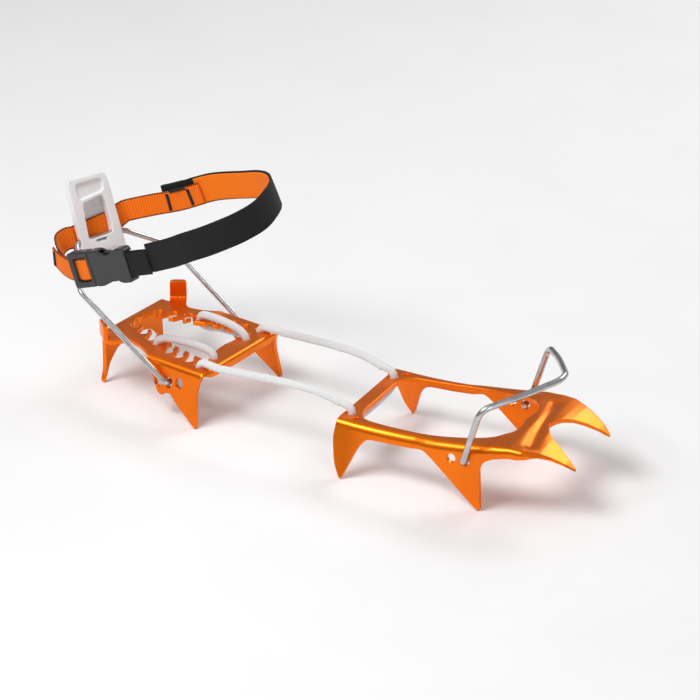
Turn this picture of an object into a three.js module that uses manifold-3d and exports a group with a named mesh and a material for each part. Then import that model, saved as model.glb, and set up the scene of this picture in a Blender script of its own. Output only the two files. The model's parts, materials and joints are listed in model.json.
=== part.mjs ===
// One ultralight strap-and-bail crampon: heel section, front section, cord link,
// toe bail, heel bail with lever, and ankle strap with a side-release buckle.
// Millimetres, +Z up, +X from heel to toe. All eight ground points touch z = 0.
import * as THREE from "three";
import { mergeVertices } from "three/addons/utils/BufferGeometryUtils.js";
import Module from "manifold-3d";

const wasm = await Module();
wasm.setup();

// ---- driving dimensions ----
const SHEET = 3.0;              // thickness of both frames
const GAP = 0.3;                // air left between touching pieces
const HEEL_TOP = 35.7;          // top of the heel plate above the ground
const FRONT_TOP = 33.4;         // top of the front plate at its rear cord holes
const FRONT_ROCKER = 0.00105;   // the front plate rises with the square of the distance
const FRONT_AT = [185.7, 6.8];  // rear of the front section, seen from above
const FRONT_YAW = THREE.MathUtils.degToRad(7.5);

const CORD_R = 2.4;
const CORD_SIDES = 8;
const CORD_HOLE_R = 3.5;
const HEEL_WIRE_R = 1.75;
const TOE_WIRE_R = 1.9;
const WIRE_SIDES = 10;

const HEEL_PIVOT = [63.1, 23.4];  // x, z of the middle hole row in the heel flanges
const TOE_PIVOT = [78.5, 29.9];   // the same in the front flanges, front frame
const HOLE_R = 2.9;

const LEVER_AT = new THREE.Vector3(-19.9, 0, 82.7);  // front face, level with the hinge
const LEVER_LEAN = THREE.MathUtils.degToRad(22.9);
const LEVER_YAW = THREE.MathUtils.degToRad(17);
const LEVER_DEPTH = 9.6;
const LEVER_UP = 38.6;
const LEVER_DOWN = 25;
const LEVER_HINGE_DEPTH = 3.3;
const LEVER_SIDE = -0.6;        // middle of the lever along the hinge
const LEVER_STEP = 4.6;         // depth where the front half meets the narrower back half
const LEVER_TAPER = 0.78;

const WEB_WIDTH = 14;
const WEB_THICK = 1.3;
const BAND_WIDTH = 18;
const BAND_THICK = 1.2;
const LINING_THICK = 0.9;

// ---- materials ----
const COLOURS = {
  frame: [0xe8640c, 0.38, 0.55],
  wire: [0xb9bbbd, 0.28, 0.95],
  cord: [0xf0f0ee, 0.85, 0.0],
  lever: [0xe4e5e4, 0.5, 0.0],
  orange: [0xf06a14, 0.8, 0.0],
  black: [0x1b1b1c, 0.85, 0.0],
  buckle: [0x3b3b3d, 0.45, 0.0],
};

function material(kind) {
  const [color, roughness, metalness] = COLOURS[kind];
  return new THREE.MeshStandardMaterial({ color, roughness, metalness });
}

// ---- solids ----
function toSolid(geometry) {
  const bare = geometry.clone();
  bare.deleteAttribute("normal");
  bare.deleteAttribute("uv");
  const merged = mergeVertices(bare, 1e-4);
  return new wasm.Manifold(new wasm.Mesh({
    numProp: 3,
    vertProperties: new Float32Array(merged.attributes.position.array),
    triVerts: new Uint32Array(merged.index.array),
  }));
}

function toMesh(name, kind, solid) {
  const data = solid.getMesh();
  const geometry = new THREE.BufferGeometry();
  geometry.setAttribute("position", new THREE.BufferAttribute(data.vertProperties, 3));
  geometry.setIndex(new THREE.BufferAttribute(data.triVerts, 1));
  geometry.computeVertexNormals();
  const mesh = new THREE.Mesh(geometry, material(kind));
  mesh.name = name;
  return mesh;
}

const UP = new THREE.Vector3(0, 0, 1);
const join = (solids) => solids.reduce((sum, solid) => sum.add(solid));
const cut = (solid, tools) => tools.reduce((rest, tool) => rest.subtract(tool), solid);

// A flat plate: outline in its own x, y; thickness along its own +z, then placed.
function plate(outline, thickness, placement = new THREE.Matrix4()) {
  const shape = new THREE.Shape(outline.map(([x, y]) => new THREE.Vector2(x, y)));
  const options = { depth: thickness, bevelEnabled: false };
  return toSolid(new THREE.ExtrudeGeometry(shape, options).applyMatrix4(placement));
}

function box(size, centre, placement = new THREE.Matrix4()) {
  const geometry = new THREE.BoxGeometry(...size).translate(...centre);
  return toSolid(geometry.applyMatrix4(placement));
}

// A cylinder between two points.
function rod(from, to, radius, sides = 16) {
  const a = new THREE.Vector3(...from);
  const b = new THREE.Vector3(...to);
  const geometry = new THREE.CylinderGeometry(radius, radius, a.distanceTo(b), sides);
  const turn = new THREE.Quaternion();
  turn.setFromUnitVectors(new THREE.Vector3(0, 1, 0), b.clone().sub(a).normalize());
  geometry.applyQuaternion(turn);
  const middle = a.clone().add(b).multiplyScalar(0.5);
  return toSolid(geometry.translate(middle.x, middle.y, middle.z));
}

// Straight runs joined by rounded corners of the given radius.
function filletedPath(points, radius) {
  const corners = points.map((p) => new THREE.Vector3(...p));
  const path = new THREE.CurvePath();
  let start = corners[0];
  for (let i = 1; i < corners.length - 1; i += 1) {
    const before = corners[i - 1].clone().sub(corners[i]);
    const after = corners[i + 1].clone().sub(corners[i]);
    const reach = Math.min(radius, before.length() * 0.45, after.length() * 0.45);
    const enter = corners[i].clone().addScaledVector(before.normalize(), reach);
    const leave = corners[i].clone().addScaledVector(after.normalize(), reach);
    path.add(new THREE.LineCurve3(start, enter));
    path.add(new THREE.QuadraticBezierCurve3(enter, corners[i], leave));
    start = leave;
  }
  path.add(new THREE.LineCurve3(start, corners[corners.length - 1]));
  return path;
}

function tube(path, radius, sides, steps) {
  const section = new THREE.Shape();
  for (let i = 0; i < sides; i += 1) {
    const angle = (2 * Math.PI * i) / sides;
    const [x, y] = [radius * Math.cos(angle), radius * Math.sin(angle)];
    if (i === 0) section.moveTo(x, y);
    else section.lineTo(x, y);
  }
  return toSolid(new THREE.ExtrudeGeometry(section, { steps, extrudePath: path }));
}

const smoothPath = (points) => new THREE.CatmullRomCurve3(
  points.map((p) => new THREE.Vector3(...p)), false, "centripetal");

function ball(centre, radius) {
  return toSolid(new THREE.SphereGeometry(radius, 12, 8).translate(...centre));
}

// A closed solid from a grid of upper points and the matching lower points.
function sheetBetween(upper, lower) {
  const rows = upper.length;
  const columns = upper[0].length;
  const positions = [...upper.flat(), ...lower.flat()].flatMap((p) => [p.x, p.y, p.z]);
  const top = (i, j) => i * columns + j;
  const under = (i, j) => rows * columns + i * columns + j;
  const index = [];
  const quad = (a, b, c, d) => index.push(a, b, c, a, c, d);
  for (let i = 0; i < rows - 1; i += 1) {
    for (let j = 0; j < columns - 1; j += 1) {
      quad(top(i, j), top(i + 1, j), top(i + 1, j + 1), top(i, j + 1));
      quad(under(i, j), under(i, j + 1), under(i + 1, j + 1), under(i + 1, j));
    }
    quad(top(i, 0), under(i, 0), under(i + 1, 0), top(i + 1, 0));
    const last = columns - 1;
    quad(top(i, last), top(i + 1, last), under(i + 1, last), under(i, last));
  }
  for (let j = 0; j < columns - 1; j += 1) {
    const end = rows - 1;
    quad(top(0, j), top(0, j + 1), under(0, j + 1), under(0, j));
    quad(top(end, j), under(end, j), under(end, j + 1), top(end, j + 1));
  }
  const geometry = new THREE.BufferGeometry();
  geometry.setAttribute("position", new THREE.Float32BufferAttribute(positions, 3));
  geometry.setIndex(index);
  return toSolid(geometry);
}

// A flat strap on edge along a curve. upright(t) is the way its width points, as far as
// the run allows; outer and inner are the depths of its two faces towards the ring's middle.
function strap(curve, steps, width, outer, inner, upright = () => UP) {
  const upper = [];
  const lower = [];
  for (let i = 0; i <= steps; i += 1) {
    const t = i / steps;
    const centre = curve.getPointAt(t);
    const run = curve.getTangentAt(t);
    const up = upright(t);
    const across = up.clone().addScaledVector(run, -run.dot(up)).normalize();
    const inward = new THREE.Vector3().crossVectors(run, across).normalize();
    const edge = (side, depth) => centre.clone()
      .addScaledVector(across, (side * width) / 2)
      .addScaledVector(inward, depth);
    upper.push([edge(-1, inner), edge(1, inner)]);
    lower.push([edge(-1, outer), edge(1, outer)]);
  }
  const solid = sheetBetween(upper, lower);
  return solid.volume() > 0 ? solid : sheetBetween(lower, upper);
}

const mirrorY = (points) => points.map(([x, y, ...rest]) => [x, -y, ...rest]);
const bothSides = (make) => [-1, 1].map(make);

// ---- heel frame ----
// Half of the plate seen from above, from the middle of the rear edge to the front.
const HEEL_HALF = [
  [2.6, 0], [5.0, 24.4], [8.8, 27.6], [18.8, 32.0], [23.2, 27.9], [32.3, 29.2],
  [43, 34.6], [50, 36.4], [74, 36.6], [86, 36.0], [88.6, 27.6], [88.8, 19], [88.8, 0],
];
const HEEL_OPENING_HALF = [
  [9.5, 0], [12, 8], [19.5, 8.4], [43, 15.8], [53.5, 18.4], [63.5, 19.6], [72.6, 21.2],
  [79, 21.6], [75.5, 15], [73.7, 0],
];
const HOOK_POCKETS = [
  [13.6, 11.3], [22.7, 14.8], [32.1, 18.7], [39.2, 21.6],
  [51.7, 25.6], [60.3, 26.6], [68.9, 27.2],
];
const HOOK_POCKET_R = 3.2;
const HOOK_MOUTH = [-2.6, -6.4];      // from a pocket to the opening, towards the rear
const CORD_EXIT = [79.6, 29.6];       // notch that lets the cord rise through the plate
const CORD_DIVE = [79.6, 15.5];       // hole in the front bar where the cord goes down
const FLANGE_TOP_Y = 36.9;            // flange outer face where it leaves the bend
const FLANGE_TILT = THREE.MathUtils.degToRad(8);
const HEEL_FLANGE = [
  [45.5, 33.5], [49, 26.8], [54.5, 16], [58.4, 13.4], [61.5, 16.4], [65, 16.9],
  [69, 12.6], [85.2, 0.4], [86.4, 0], [87, 1.4], [87.4, 27.6], [87.4, 33.5],
];
const HEEL_HOLES = [55.2, 63.1, 71.1];  // x of the bail holes; they rise gently forward
const HOLE_RISE = 0.175;
const REAR_WALL_HALF = [
  [0, 21], [9, 20.6], [15.2, 19.6], [20.5, 15], [23.8, 11.4], [28.6, 0.4], [29.4, 0],
  [29.9, 1.6], [27.6, 9], [27.2, 34.5], [0, 34.5],
];
const TAB_HEIGHT = 11;
const TAB_WIDTH = 10.6;

function throughPlate(x, y, radius, top, sides = 12) {
  return rod([x, y, top - 12], [x, y, top + 6], radius, sides);
}

// The slot of one hook: a round pocket and a mouth that opens inwards.
function hookCut(x, y, side) {
  const [mouthX, mouthY] = HOOK_MOUTH;
  const reach = Math.hypot(mouthX, mouthY);
  const turn = new THREE.Matrix4().makeRotationZ(Math.atan2(side * mouthY, mouthX));
  const lift = new THREE.Matrix4().makeTranslation(x, side * y, HEEL_TOP);
  const slot = box([reach, 3.6, 12], [reach / 2, 0, 0], lift.multiply(turn));
  return [throughPlate(x, side * y, HOOK_POCKET_R, HEEL_TOP), slot];
}

// Upright plate whose outline is drawn in x, z; it leans outwards towards the ground.
function flangePlacement(side, topY, topZ, tilt) {
  const upright = new THREE.Matrix4().makeRotationX(Math.PI / 2);
  const hang = new THREE.Matrix4().makeTranslation(0, 0, -topZ);
  const lean = new THREE.Matrix4().makeRotationX(side * tilt);
  const place = new THREE.Matrix4().makeTranslation(0, side * topY, topZ);
  const centre = new THREE.Matrix4().makeTranslation(0, side > 0 ? 0 : SHEET, 0);
  return place.multiply(lean).multiply(hang).multiply(centre).multiply(upright);
}

function heelTab(side) {
  const middle = new THREE.Vector3(13.8, side * 29.8, 0);
  const outward = Math.atan2(side * 0.81, -0.59);
  const place = new THREE.Matrix4().makeTranslation(middle.x, middle.y, HEEL_TOP - SHEET);
  place.multiply(new THREE.Matrix4().makeRotationZ(outward));
  const foot = box([11, TAB_WIDTH, SHEET], [3.5, 0, SHEET / 2], place);
  const upright = box([SHEET, TAB_WIDTH, TAB_HEIGHT + SHEET],
    [7.5, 0, (TAB_HEIGHT + SHEET) / 2], place);
  return foot.add(upright);
}

function heelFrame() {
  const outline = [...HEEL_HALF, ...mirrorY(HEEL_HALF.slice(1, -1)).reverse()];
  const opening = [...HEEL_OPENING_HALF, ...mirrorY(HEEL_OPENING_HALF.slice(1, -1)).reverse()];
  const lay = new THREE.Matrix4().makeTranslation(0, 0, HEEL_TOP - SHEET);
  const below = new THREE.Matrix4().makeTranslation(0, 0, HEEL_TOP - 8);
  const parts = [plate(outline, SHEET, lay)];
  const rear = [...REAR_WALL_HALF, ...mirrorX(REAR_WALL_HALF.slice(1, -1)).reverse()];
  const facing = new THREE.Matrix4().set(0, 0, 1, 0, 1, 0, 0, 0, 0, 1, 0, 0, 0, 0, 0, 1);
  parts.push(plate(rear, SHEET, facing));
  parts.push(box([4, 50, SHEET], [4, 0, HEEL_TOP - SHEET / 2]));
  parts.push(box([SHEET, 52, 6], [87.3, 0, HEEL_TOP - 3]));
  bothSides((side) => {
    const place = flangePlacement(side, FLANGE_TOP_Y, HEEL_TOP - SHEET, FLANGE_TILT);
    parts.push(plate(HEEL_FLANGE, SHEET, place));
    parts.push(heelTab(side));
  });
  const tools = [plate(opening, 14, below)];
  bothSides((side) => {
    HOOK_POCKETS.forEach(([x, y]) => tools.push(...hookCut(x, y, side)));
    [CORD_EXIT, CORD_DIVE].forEach(([x, y]) => {
      tools.push(throughPlate(x, side * y, CORD_HOLE_R, HEEL_TOP));
    });
    HEEL_HOLES.forEach((x) => {
      const z = HEEL_PIVOT[1] + (x - HEEL_PIVOT[0]) * HOLE_RISE;
      tools.push(rod([x, side * 30, z], [x, side * 48, z], HOLE_R));
    });
  });
  return cut(join(parts), tools);
}

function mirrorX(points) {
  return points.map(([x, y]) => [-x, y]);
}

// ---- front frame, in its own frame: rear cord holes at x = 0, middle plane y = 0 ----
const frontTop = (x) => FRONT_TOP + FRONT_ROCKER * x * x;
// Stations along one rail: x, inner edge y, outer edge y.
const RAIL = [
  [-10, 29, 36.2], [-7, 21, 37.2], [-1, 21, 38], [3, 21, 38.4], [6.6, 29.4, 38.6],
  [14, 30.5, 38.9], [26, 31.4, 38.8], [36, 32, 38.4], [44, 32.4, 38.6], [53, 32.6, 40],
  [63, 31.8, 40.8], [75, 30, 40.4], [84, 28.2, 40], [91, 25.4, 39], [99, 16, 37],
];
// Stations of the toe: x, inner y, inner z, outer y, outer z.
const TOE = [
  [97, 0, 43.2, 37.5, 41.4], [104, 0, 44.4, 38.6, 40.6], [111.5, 0.2, 44.2, 38, 40.2],
  [116, 8.6, 43.9, 35.6, 39.8], [121, 13.1, 42.6, 33.4, 39.4], [127.4, 16.7, 39.6, 30.9, 38.2],
  [134.6, 20.2, 35.4, 27.6, 35], [139.6, 22.4, 31.6, 24.2, 31.2],
];
const REAR_BAR = [[-7.4, -24], [-7, 0], [-7.4, 24], [3, 24], [1.6, 18], [1.6, -18], [3, -24]];
const REAR_POINT = [
  [-5, 31.5], [-7.6, 22.7], [-4.6, 8], [-0.6, 0.5], [0.3, 0], [1.2, 0.8],
  [8.5, 20.5], [14, 26.4], [14, 31.5],
];
const RIB = [[-4.5, 31.6], [-6, 27], [12, 26], [30, 26.6], [51, 30.2], [51, 34.4], [26, 32.4], [8, 31.6]];
const MIDDLE_POINT = [
  [50, 34.4], [51, 30.2], [56, 26.6], [86, 0.6], [87.4, 0], [88.6, 1.2], [88.9, 26.8],
  [90.4, 31.2], [95, 34.4], [101, 37.2], [101, 41.2], [88, 39.4], [70, 36.6],
];
const CORD_HOLE = [-3.3, 26];
const SPARE_HOLE = [2.6, 31.6];
const FRONT_HOLES = [[69.6, 29.6], TOE_PIVOT];
const EDGE_WEB = 3.4;                 // closes the corner between plate and flange

function slab(stations) {
  const lift = (depth) => stations.map(([x, y0, z0, y1, z1]) => [
    new THREE.Vector3(x, y0, z0 - depth), new THREE.Vector3(x, y1, z1 - depth),
  ]);
  return lift;
}

function layer(stations, thickness) {
  const lift = slab(stations);
  const solid = sheetBetween(lift(0), lift(thickness));
  return solid.volume() > 0 ? solid : sheetBetween(lift(thickness), lift(0));
}

function frontFrame() {
  const barLift = new THREE.Matrix4().makeTranslation(0, 0, FRONT_TOP - SHEET);
  const parts = [plate(REAR_BAR, SHEET, barLift)];
  const tools = [];
  bothSides((side) => {
    const rail = RAIL.map(([x, a, b]) => [x, side * a, frontTop(x), side * b, frontTop(x)]);
    const toe = TOE.map(([x, a, za, b, zb]) => [x, side * (a - 0.4), za, side * b, zb]);
    parts.push(layer(rail, SHEET), layer(toe, SHEET));
    const rear = flangePlacement(side, 38.6, FRONT_TOP - SHEET, THREE.MathUtils.degToRad(12.5));
    parts.push(plate(REAR_POINT, SHEET, rear));
    const edge = flangePlacement(side, 41.2, FRONT_TOP, 0);
    parts.push(plate(MIDDLE_POINT, SHEET, edge));
    const rib = flangePlacement(side, 39.6, FRONT_TOP, 0);
    parts.push(plate(RIB, SHEET, rib));
    const web = RAIL.slice(3).map(([x, , b]) => [
      x, side * (b - EDGE_WEB), frontTop(x) - 1, side * 40.4, frontTop(x) - 1.6,
    ]);
    parts.push(layer(web, SHEET));
    [[CORD_HOLE, CORD_HOLE_R], [SPARE_HOLE, 1.7]].forEach(([[x, y], radius]) => {
      tools.push(throughPlate(x, side * y, radius, FRONT_TOP));
    });
    FRONT_HOLES.forEach(([x, z]) => tools.push(rod([x, side * 34, z], [x, side * 50, z], HOLE_R)));
  });
  return cut(join(parts), tools);
}

// ---- wires ----
const HEEL_BEND = [-2.6, 42.4, 66.2];
const HEEL_LEG_Y = 41.9;
const TOE_SHOULDER = [89.6, 44.9, 67.6];
const TOE_APEX = [119.4, 4.2, 75.6];
const TOE_LEG_Y = 43.9;

// Unit axes of the lever: up its length, across it, and out of its front face.
const leverAcross = new THREE.Vector3(Math.sin(LEVER_YAW), Math.cos(LEVER_YAW), 0);
const leverUp = new THREE.Vector3(-Math.sin(LEVER_LEAN), 0, Math.cos(LEVER_LEAN))
  .applyAxisAngle(new THREE.Vector3(0, 0, 1), -LEVER_YAW);
const leverOut = new THREE.Vector3().crossVectors(leverAcross, leverUp);

function leverPoint(up, across, out) {
  return LEVER_AT.clone()
    .addScaledVector(leverUp, up)
    .addScaledVector(leverAcross, across)
    .addScaledVector(leverOut, out);
}

function heelBail() {
  const [bendX, bendY, bendZ] = HEEL_BEND;
  const [pivotX, pivotZ] = HEEL_PIVOT;
  const ends = bothSides((side) => (
    leverPoint(0, LEVER_SIDE + side * 17.2, -LEVER_HINGE_DEPTH).toArray()));
  const leg = (side) => [
    [pivotX, side * 34.6, pivotZ], [pivotX, side * HEEL_LEG_Y, pivotZ],
    [bendX, side * bendY, bendZ],
  ];
  const route = [...leg(-1), ...ends, ...leg(1).reverse()];
  return tube(filletedPath(route, 2.8), HEEL_WIRE_R, WIRE_SIDES, 110);
}

function toeBail() {
  const [pivotX, pivotZ] = TOE_PIVOT;
  const [, shoulderY] = TOE_SHOULDER;
  const half = (side) => [
    [pivotX, side * 35.6, pivotZ], [pivotX, side * TOE_LEG_Y, pivotZ],
    [TOE_SHOULDER[0], side * shoulderY, TOE_SHOULDER[2]],
    [104.5, side * 27, 71.4],
    [TOE_APEX[0], side * TOE_APEX[1], TOE_APEX[2]],
  ];
  return tube(filletedPath([...half(-1), ...half(1).reverse()], 7), TOE_WIRE_R, WIRE_SIDES, 80);
}

// ---- lever: hinge bore in front, strap slot behind it, back panel; window in the front ----
const WEB_DEPTH = 6.9;                // how far the webbing runs behind the lever's face

function leverSolid() {
  const basis = new THREE.Matrix4().makeBasis(leverAcross, leverUp, leverOut);
  basis.setPosition(leverPoint(0, LEVER_SIDE, 0));
  const half = [
    [0, LEVER_UP], [13, LEVER_UP], [14.4, LEVER_UP - 1.6], [14.6, 8], [15, 0],
    [15.4, 2 - LEVER_DOWN], [13.4, -LEVER_DOWN], [0, -LEVER_DOWN],
  ];
  const outline = [...half, ...mirrorX(half.slice(1, -1)).reverse()];
  const layerOf = (points, near, far) => {
    const sink = new THREE.Matrix4().makeTranslation(0, 0, -far);
    return plate(points, far - near, basis.clone().multiply(sink));
  };
  const narrow = outline.map(([x, y]) => [x * LEVER_TAPER, y * 0.98]);
  const shell = layerOf(outline, 0, LEVER_STEP).add(layerOf(narrow, LEVER_STEP - 0.1, LEVER_DEPTH));
  const window = box([16, 23.8, 8], [0, 12.3, -2.9], basis);
  const slot = box([40, 24, 2.1], [0, 7, -WEB_DEPTH], basis);
  const bore = rod(leverPoint(0, -22, -LEVER_HINGE_DEPTH).toArray(),
    leverPoint(0, 22, -LEVER_HINGE_DEPTH).toArray(), HEEL_WIRE_R + 0.35);
  const relief = box([18, 14, 5], [0, -16.5, -7.6], basis);
  return cut(shell, [window, slot, bore, relief]);
}

// ---- ankle strap ----
// Centre lines in order round the ring: lever, far side, front, near side, buckle.
const RING_LEAN = THREE.MathUtils.degToRad(27);  // the ring slopes up towards the shin
const ringUp = new THREE.Vector3(-Math.sin(RING_LEAN), 0, Math.cos(RING_LEAN));
const WEB_SLOPE = 0.12;               // the webbing climbs across the lever
const WEB_UP = 5.9;                   // its height above the hinge, mid-lever
const webInLever = (across) => leverPoint(WEB_UP + WEB_SLOPE * across, across, -WEB_DEPTH);
const FAR_WEB = [
  webInLever(13).toArray(), webInLever(15).toArray(), [-22.4, 23.2, 90.4], [-17.8, 26.2, 92.3],
  [-12, 29.8, 94.6], [-5, 33.4, 97.3], [1.2, 35.4, 99.8], [12, 38.3, 104.2], [26, 40, 111.2],
];
const BAND = [
  [-1.4, 37.8, 98.9], [4.6, 39.7, 101.2], [13, 41.5, 104.8], [22, 42.5, 109.4], [34.2, 43, 115],
  [47.4, 42.5, 119.7], [61.5, 40.5, 124.5], [77, 36.5, 130.5], [91, 28.5, 135.4],
  [102.5, 16.5, 138.4], [110, 2, 139.4], [112.6, -12, 137.2], [109.4, -26, 134.2],
  [102.4, -35.5, 130.4], [94.4, -41, 126.2], [84.6, -43.8, 121.3], [73.4, -44.6, 115],
  [64, -44.8, 110.4], [56.4, -44.8, 106.7],
];
const NEAR_LEAN = 0.35;               // share of a run that still leans with the lever

const leanThenUp = (t) => leverUp.clone().lerp(ringUp, Math.min(1, t / NEAR_LEAN)).normalize();
const alongRing = () => ringUp;

function webbingSolid() {
  const half = WEB_THICK / 2;
  const inside = new THREE.LineCurve3(webInLever(-14.6), webInLever(13.05));
  const inLever = strap(inside, 1, WEB_WIDTH, -half, half, () => leverUp);
  return inLever.add(strap(smoothPath(FAR_WEB), 22, WEB_WIDTH, -half, half, leanThenUp));
}

// ---- side-release buckle: x along the strap, y towards the leg, z up ----
const BUCKLE_SLOPE = THREE.MathUtils.degToRad(20.5);
const BUCKLE_AT = [15, -44.8, 88.8];  // seam between plug and socket
const BUCKLE_HALF = 11.3;
const SOCKET_HALF = [
  [0.3, 0], [0.3, 10.4], [1.2, 11.3], [5.6, 11.2], [8.4, 9.4], [11.6, 8], [15.2, 8.2],
  [18.6, 10], [21, 10.8], [27.4, 10.8], [28.3, 9.9], [28.3, 0],
];
const PRONG_ROOT = [1.4, 5.1];        // x, z of the upper prong's spring root

const buckleBasis = new THREE.Matrix4().makeTranslation(...BUCKLE_AT)
  .multiply(new THREE.Matrix4().makeRotationY(-BUCKLE_SLOPE));

const buckleUp = new THREE.Vector3(-Math.sin(BUCKLE_SLOPE), 0, Math.cos(BUCKLE_SLOPE));
const inBuckle = (size, centre) => box(size, centre, buckleBasis.clone());

// Lead and tail: from the lever round to the plug, through its ladder frame and back.
const inStrapPlane = (x, y) => new THREE.Vector3(x, y, 0).applyMatrix4(buckleBasis).toArray();
const LEAD = [
  webInLever(-15).toArray(), webInLever(-16.4).toArray(), [-33.8, -18.4, 84],
  [-33, -25.2, 83.2], [-26, -33.2, 81.8], [-16, -39.8, 80.4],
  inStrapPlane(-23, 1.5), inStrapPlane(-17, 1.4), inStrapPlane(-8, 1.4),
];
const TAIL = [
  inStrapPlane(-5.4, 0.5), inStrapPlane(-6.6, -1.9), inStrapPlane(-9.8, -2.8),
  inStrapPlane(-13, -1.9), inStrapPlane(-16, -0.7), inStrapPlane(-21.5, -0.6),
  [-13, -43.8, 80.8], [-21.4, -40.6, 81.8],
];

function buckleSocket() {
  const outline = [...SOCKET_HALF, ...mirrorY(SOCKET_HALF.slice(1, -1)).reverse()];
  const flat = new THREE.Matrix4().makeRotationX(Math.PI / 2);
  const sink = new THREE.Matrix4().makeTranslation(0, 0, -3.8);
  const shell = plate(outline, 7.6, buckleBasis.clone().multiply(flat).multiply(sink));
  const tools = [
    inBuckle([20.4, 4.2, 20.6], [8.8, 0, 0]),
    inBuckle([3.4, 9, 16], [22.3, 0, 0]),
    inBuckle([5, 3, 16], [26.4, -2.9, 0]),
    inBuckle([5, 3, 16], [26.4, 2.9, 0]),
  ];
  return cut(shell, tools);
}

function bucklePlug() {
  const body = inBuckle([20.3, 6.8, 2 * BUCKLE_HALF], [-10.35, 0, 0]);
  const tools = [
    inBuckle([12.9, 9, 15], [-9.85, 0, 0]),
    inBuckle([6, 6, 15], [-19.2, 1, 0]),
  ];
  const bar = inBuckle([2.2, 1.6, 16], [-9.8, -0.5, 0]);
  const shank = inBuckle([1.6, 3.2, 15.6], [0.4, 0, 0]);
  const guide = inBuckle([6.4, 3.0, 3.0], [4.2, 0, 0]);
  return join([cut(body, tools), bar, shank, guide]);
}

// One sprung arm of the plug with its press pad, which shows at the socket's waist.
function prong(side) {
  const arm = inBuckle([14.6, 2.8, 2.4], [8.9, 0, side * PRONG_ROOT[1]]);
  const pad = inBuckle([8, 3.2, 4.2], [12, 0, side * 7.8]);
  return arm.add(pad);
}

// Black webbing sewn round the socket's end bar, on to the band.
function socketLoop() {
  const layers = [-1, 1].map((side) => inBuckle([21, 1.2, 14.8], [32.7, side * 2.2, 0]));
  const turn = inBuckle([1.3, 5.6, 14.8], [22.2, 0, 0]);
  const seam = inBuckle([6, 5.6, 14.8], [40.3, 0, 0]);
  return join([...layers, turn, seam]);
}

// A row of dense stitches: a thin bar on one face of a strap.
function bartack(curve, at, upward, length, thick, depth, up) {
  const centre = curve.getPointAt(at);
  const run = curve.getTangentAt(at);
  const across = up.clone().addScaledVector(run, -run.dot(up)).normalize();
  const inward = new THREE.Vector3().crossVectors(run, across).normalize();
  const basis = new THREE.Matrix4().makeBasis(run, across, inward).setPosition(centre);
  return box([length, thick, 0.6], [0, upward, depth], basis);
}

// ---- cord: one loop, cut where the two halves of the crampon fold ----
const HEEL_FOLD = [96.2, 38.6];       // x, z where both long runs leave the heel
const FRONT_FOLD = [-11.6, 38];       // the same behind the front plate, front frame
const CORD_LIFT = HEEL_TOP + CORD_R + GAP;
const CORD_UNDER = HEEL_TOP - SHEET - CORD_R - GAP;
const BELOW_BAR = FRONT_TOP - SHEET - CORD_R - GAP;

// Heel part: up through one corner notch, round a hook, forward, under the bar, and mirrored.
const HEEL_CORD_HALF = [
  [HEEL_FOLD[0] - CORD_R - GAP, 30.4, HEEL_FOLD[1]], [86, 29.9, CORD_LIFT],
  [82, 29.6, CORD_LIFT - 0.4], [79.6, 29.5, CORD_LIFT - 3], [78.2, 29.3, CORD_UNDER + 1],
  [74, 28.8, CORD_UNDER - 0.2], [64, 27.8, CORD_UNDER - 0.4], [50, 25.6, CORD_UNDER - 0.2],
  [43.6, 23.4, CORD_UNDER - 0.6], [40.2, 22, CORD_UNDER + 1], [39, 21.4, HEEL_TOP - SHEET / 2],
  [40.2, 20.8, CORD_LIFT - 1.2], [43.6, 19.9, CORD_LIFT + 0.7], [56, 18.2, CORD_LIFT + 2.2],
  [70, 16.6, CORD_LIFT + 1.8], [75.4, 15.9, CORD_LIFT + 0.6], [78.6, 15.5, CORD_LIFT - 1.6],
  [79.6, 15.4, HEEL_TOP - 2], [79.6, 14.8, CORD_UNDER + 1.2], [79.6, 11.4, CORD_UNDER - 0.4],
];
const heelCordRoute = [...HEEL_CORD_HALF, ...mirrorY(HEEL_CORD_HALF).reverse()];

const FRONT_CORD_HALF = [
  [FRONT_FOLD[0] + CORD_R + GAP, 26, FRONT_FOLD[1]], [-6.6, 26, FRONT_FOLD[1] - 0.7],
  [-4.2, 26, FRONT_TOP + 2.2], [-3.4, 26, FRONT_TOP], [-3.3, 25.7, BELOW_BAR + 2.2],
  [-3.3, 22, BELOW_BAR - 0.4],
];
const frontCordRoute = [...FRONT_CORD_HALF, ...mirrorY(FRONT_CORD_HALF).reverse()];

function toWorld([x, y, z]) {
  const point = new THREE.Vector3(x, y, z);
  point.applyAxisAngle(new THREE.Vector3(0, 0, 1), FRONT_YAW);
  return [point.x + FRONT_AT[0], point.y + FRONT_AT[1], point.z];
}

function longRun(side) {
  const start = [HEEL_FOLD[0], side * 30.4, HEEL_FOLD[1]];
  const end = toWorld([FRONT_FOLD[0], side * 26, FRONT_FOLD[1]]);
  const along = (share, rise) => start.map((value, i) => (
    value + (end[i] - value) * share + (i === 2 ? rise : 0)));
  const points = [start, along(0.25, 1.6), along(0.5, 3), along(0.8, 3.2), along(0.93, 1.6), end];
  const run = tube(smoothPath(points), CORD_R, CORD_SIDES, 24);
  return join([run, ball(start, CORD_R), ball(end, CORD_R)]);
}

// ---- assembly ----
const crampon = new THREE.Group();
const front = new THREE.Group();
front.position.set(FRONT_AT[0], FRONT_AT[1], 0);
front.rotation.z = FRONT_YAW;
crampon.add(front);

crampon.add(toMesh("heel_frame", "frame", heelFrame()));
front.add(toMesh("front_frame", "frame", frontFrame()));

crampon.add(toMesh("link_cord_heel", "cord", tube(smoothPath(heelCordRoute), CORD_R, CORD_SIDES, 80)));
front.add(toMesh("link_cord_front", "cord", tube(smoothPath(frontCordRoute), CORD_R, CORD_SIDES, 36)));
crampon.add(toMesh("link_cord_near_run", "cord", longRun(-1)));
crampon.add(toMesh("link_cord_far_run", "cord", longRun(1)));

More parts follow.
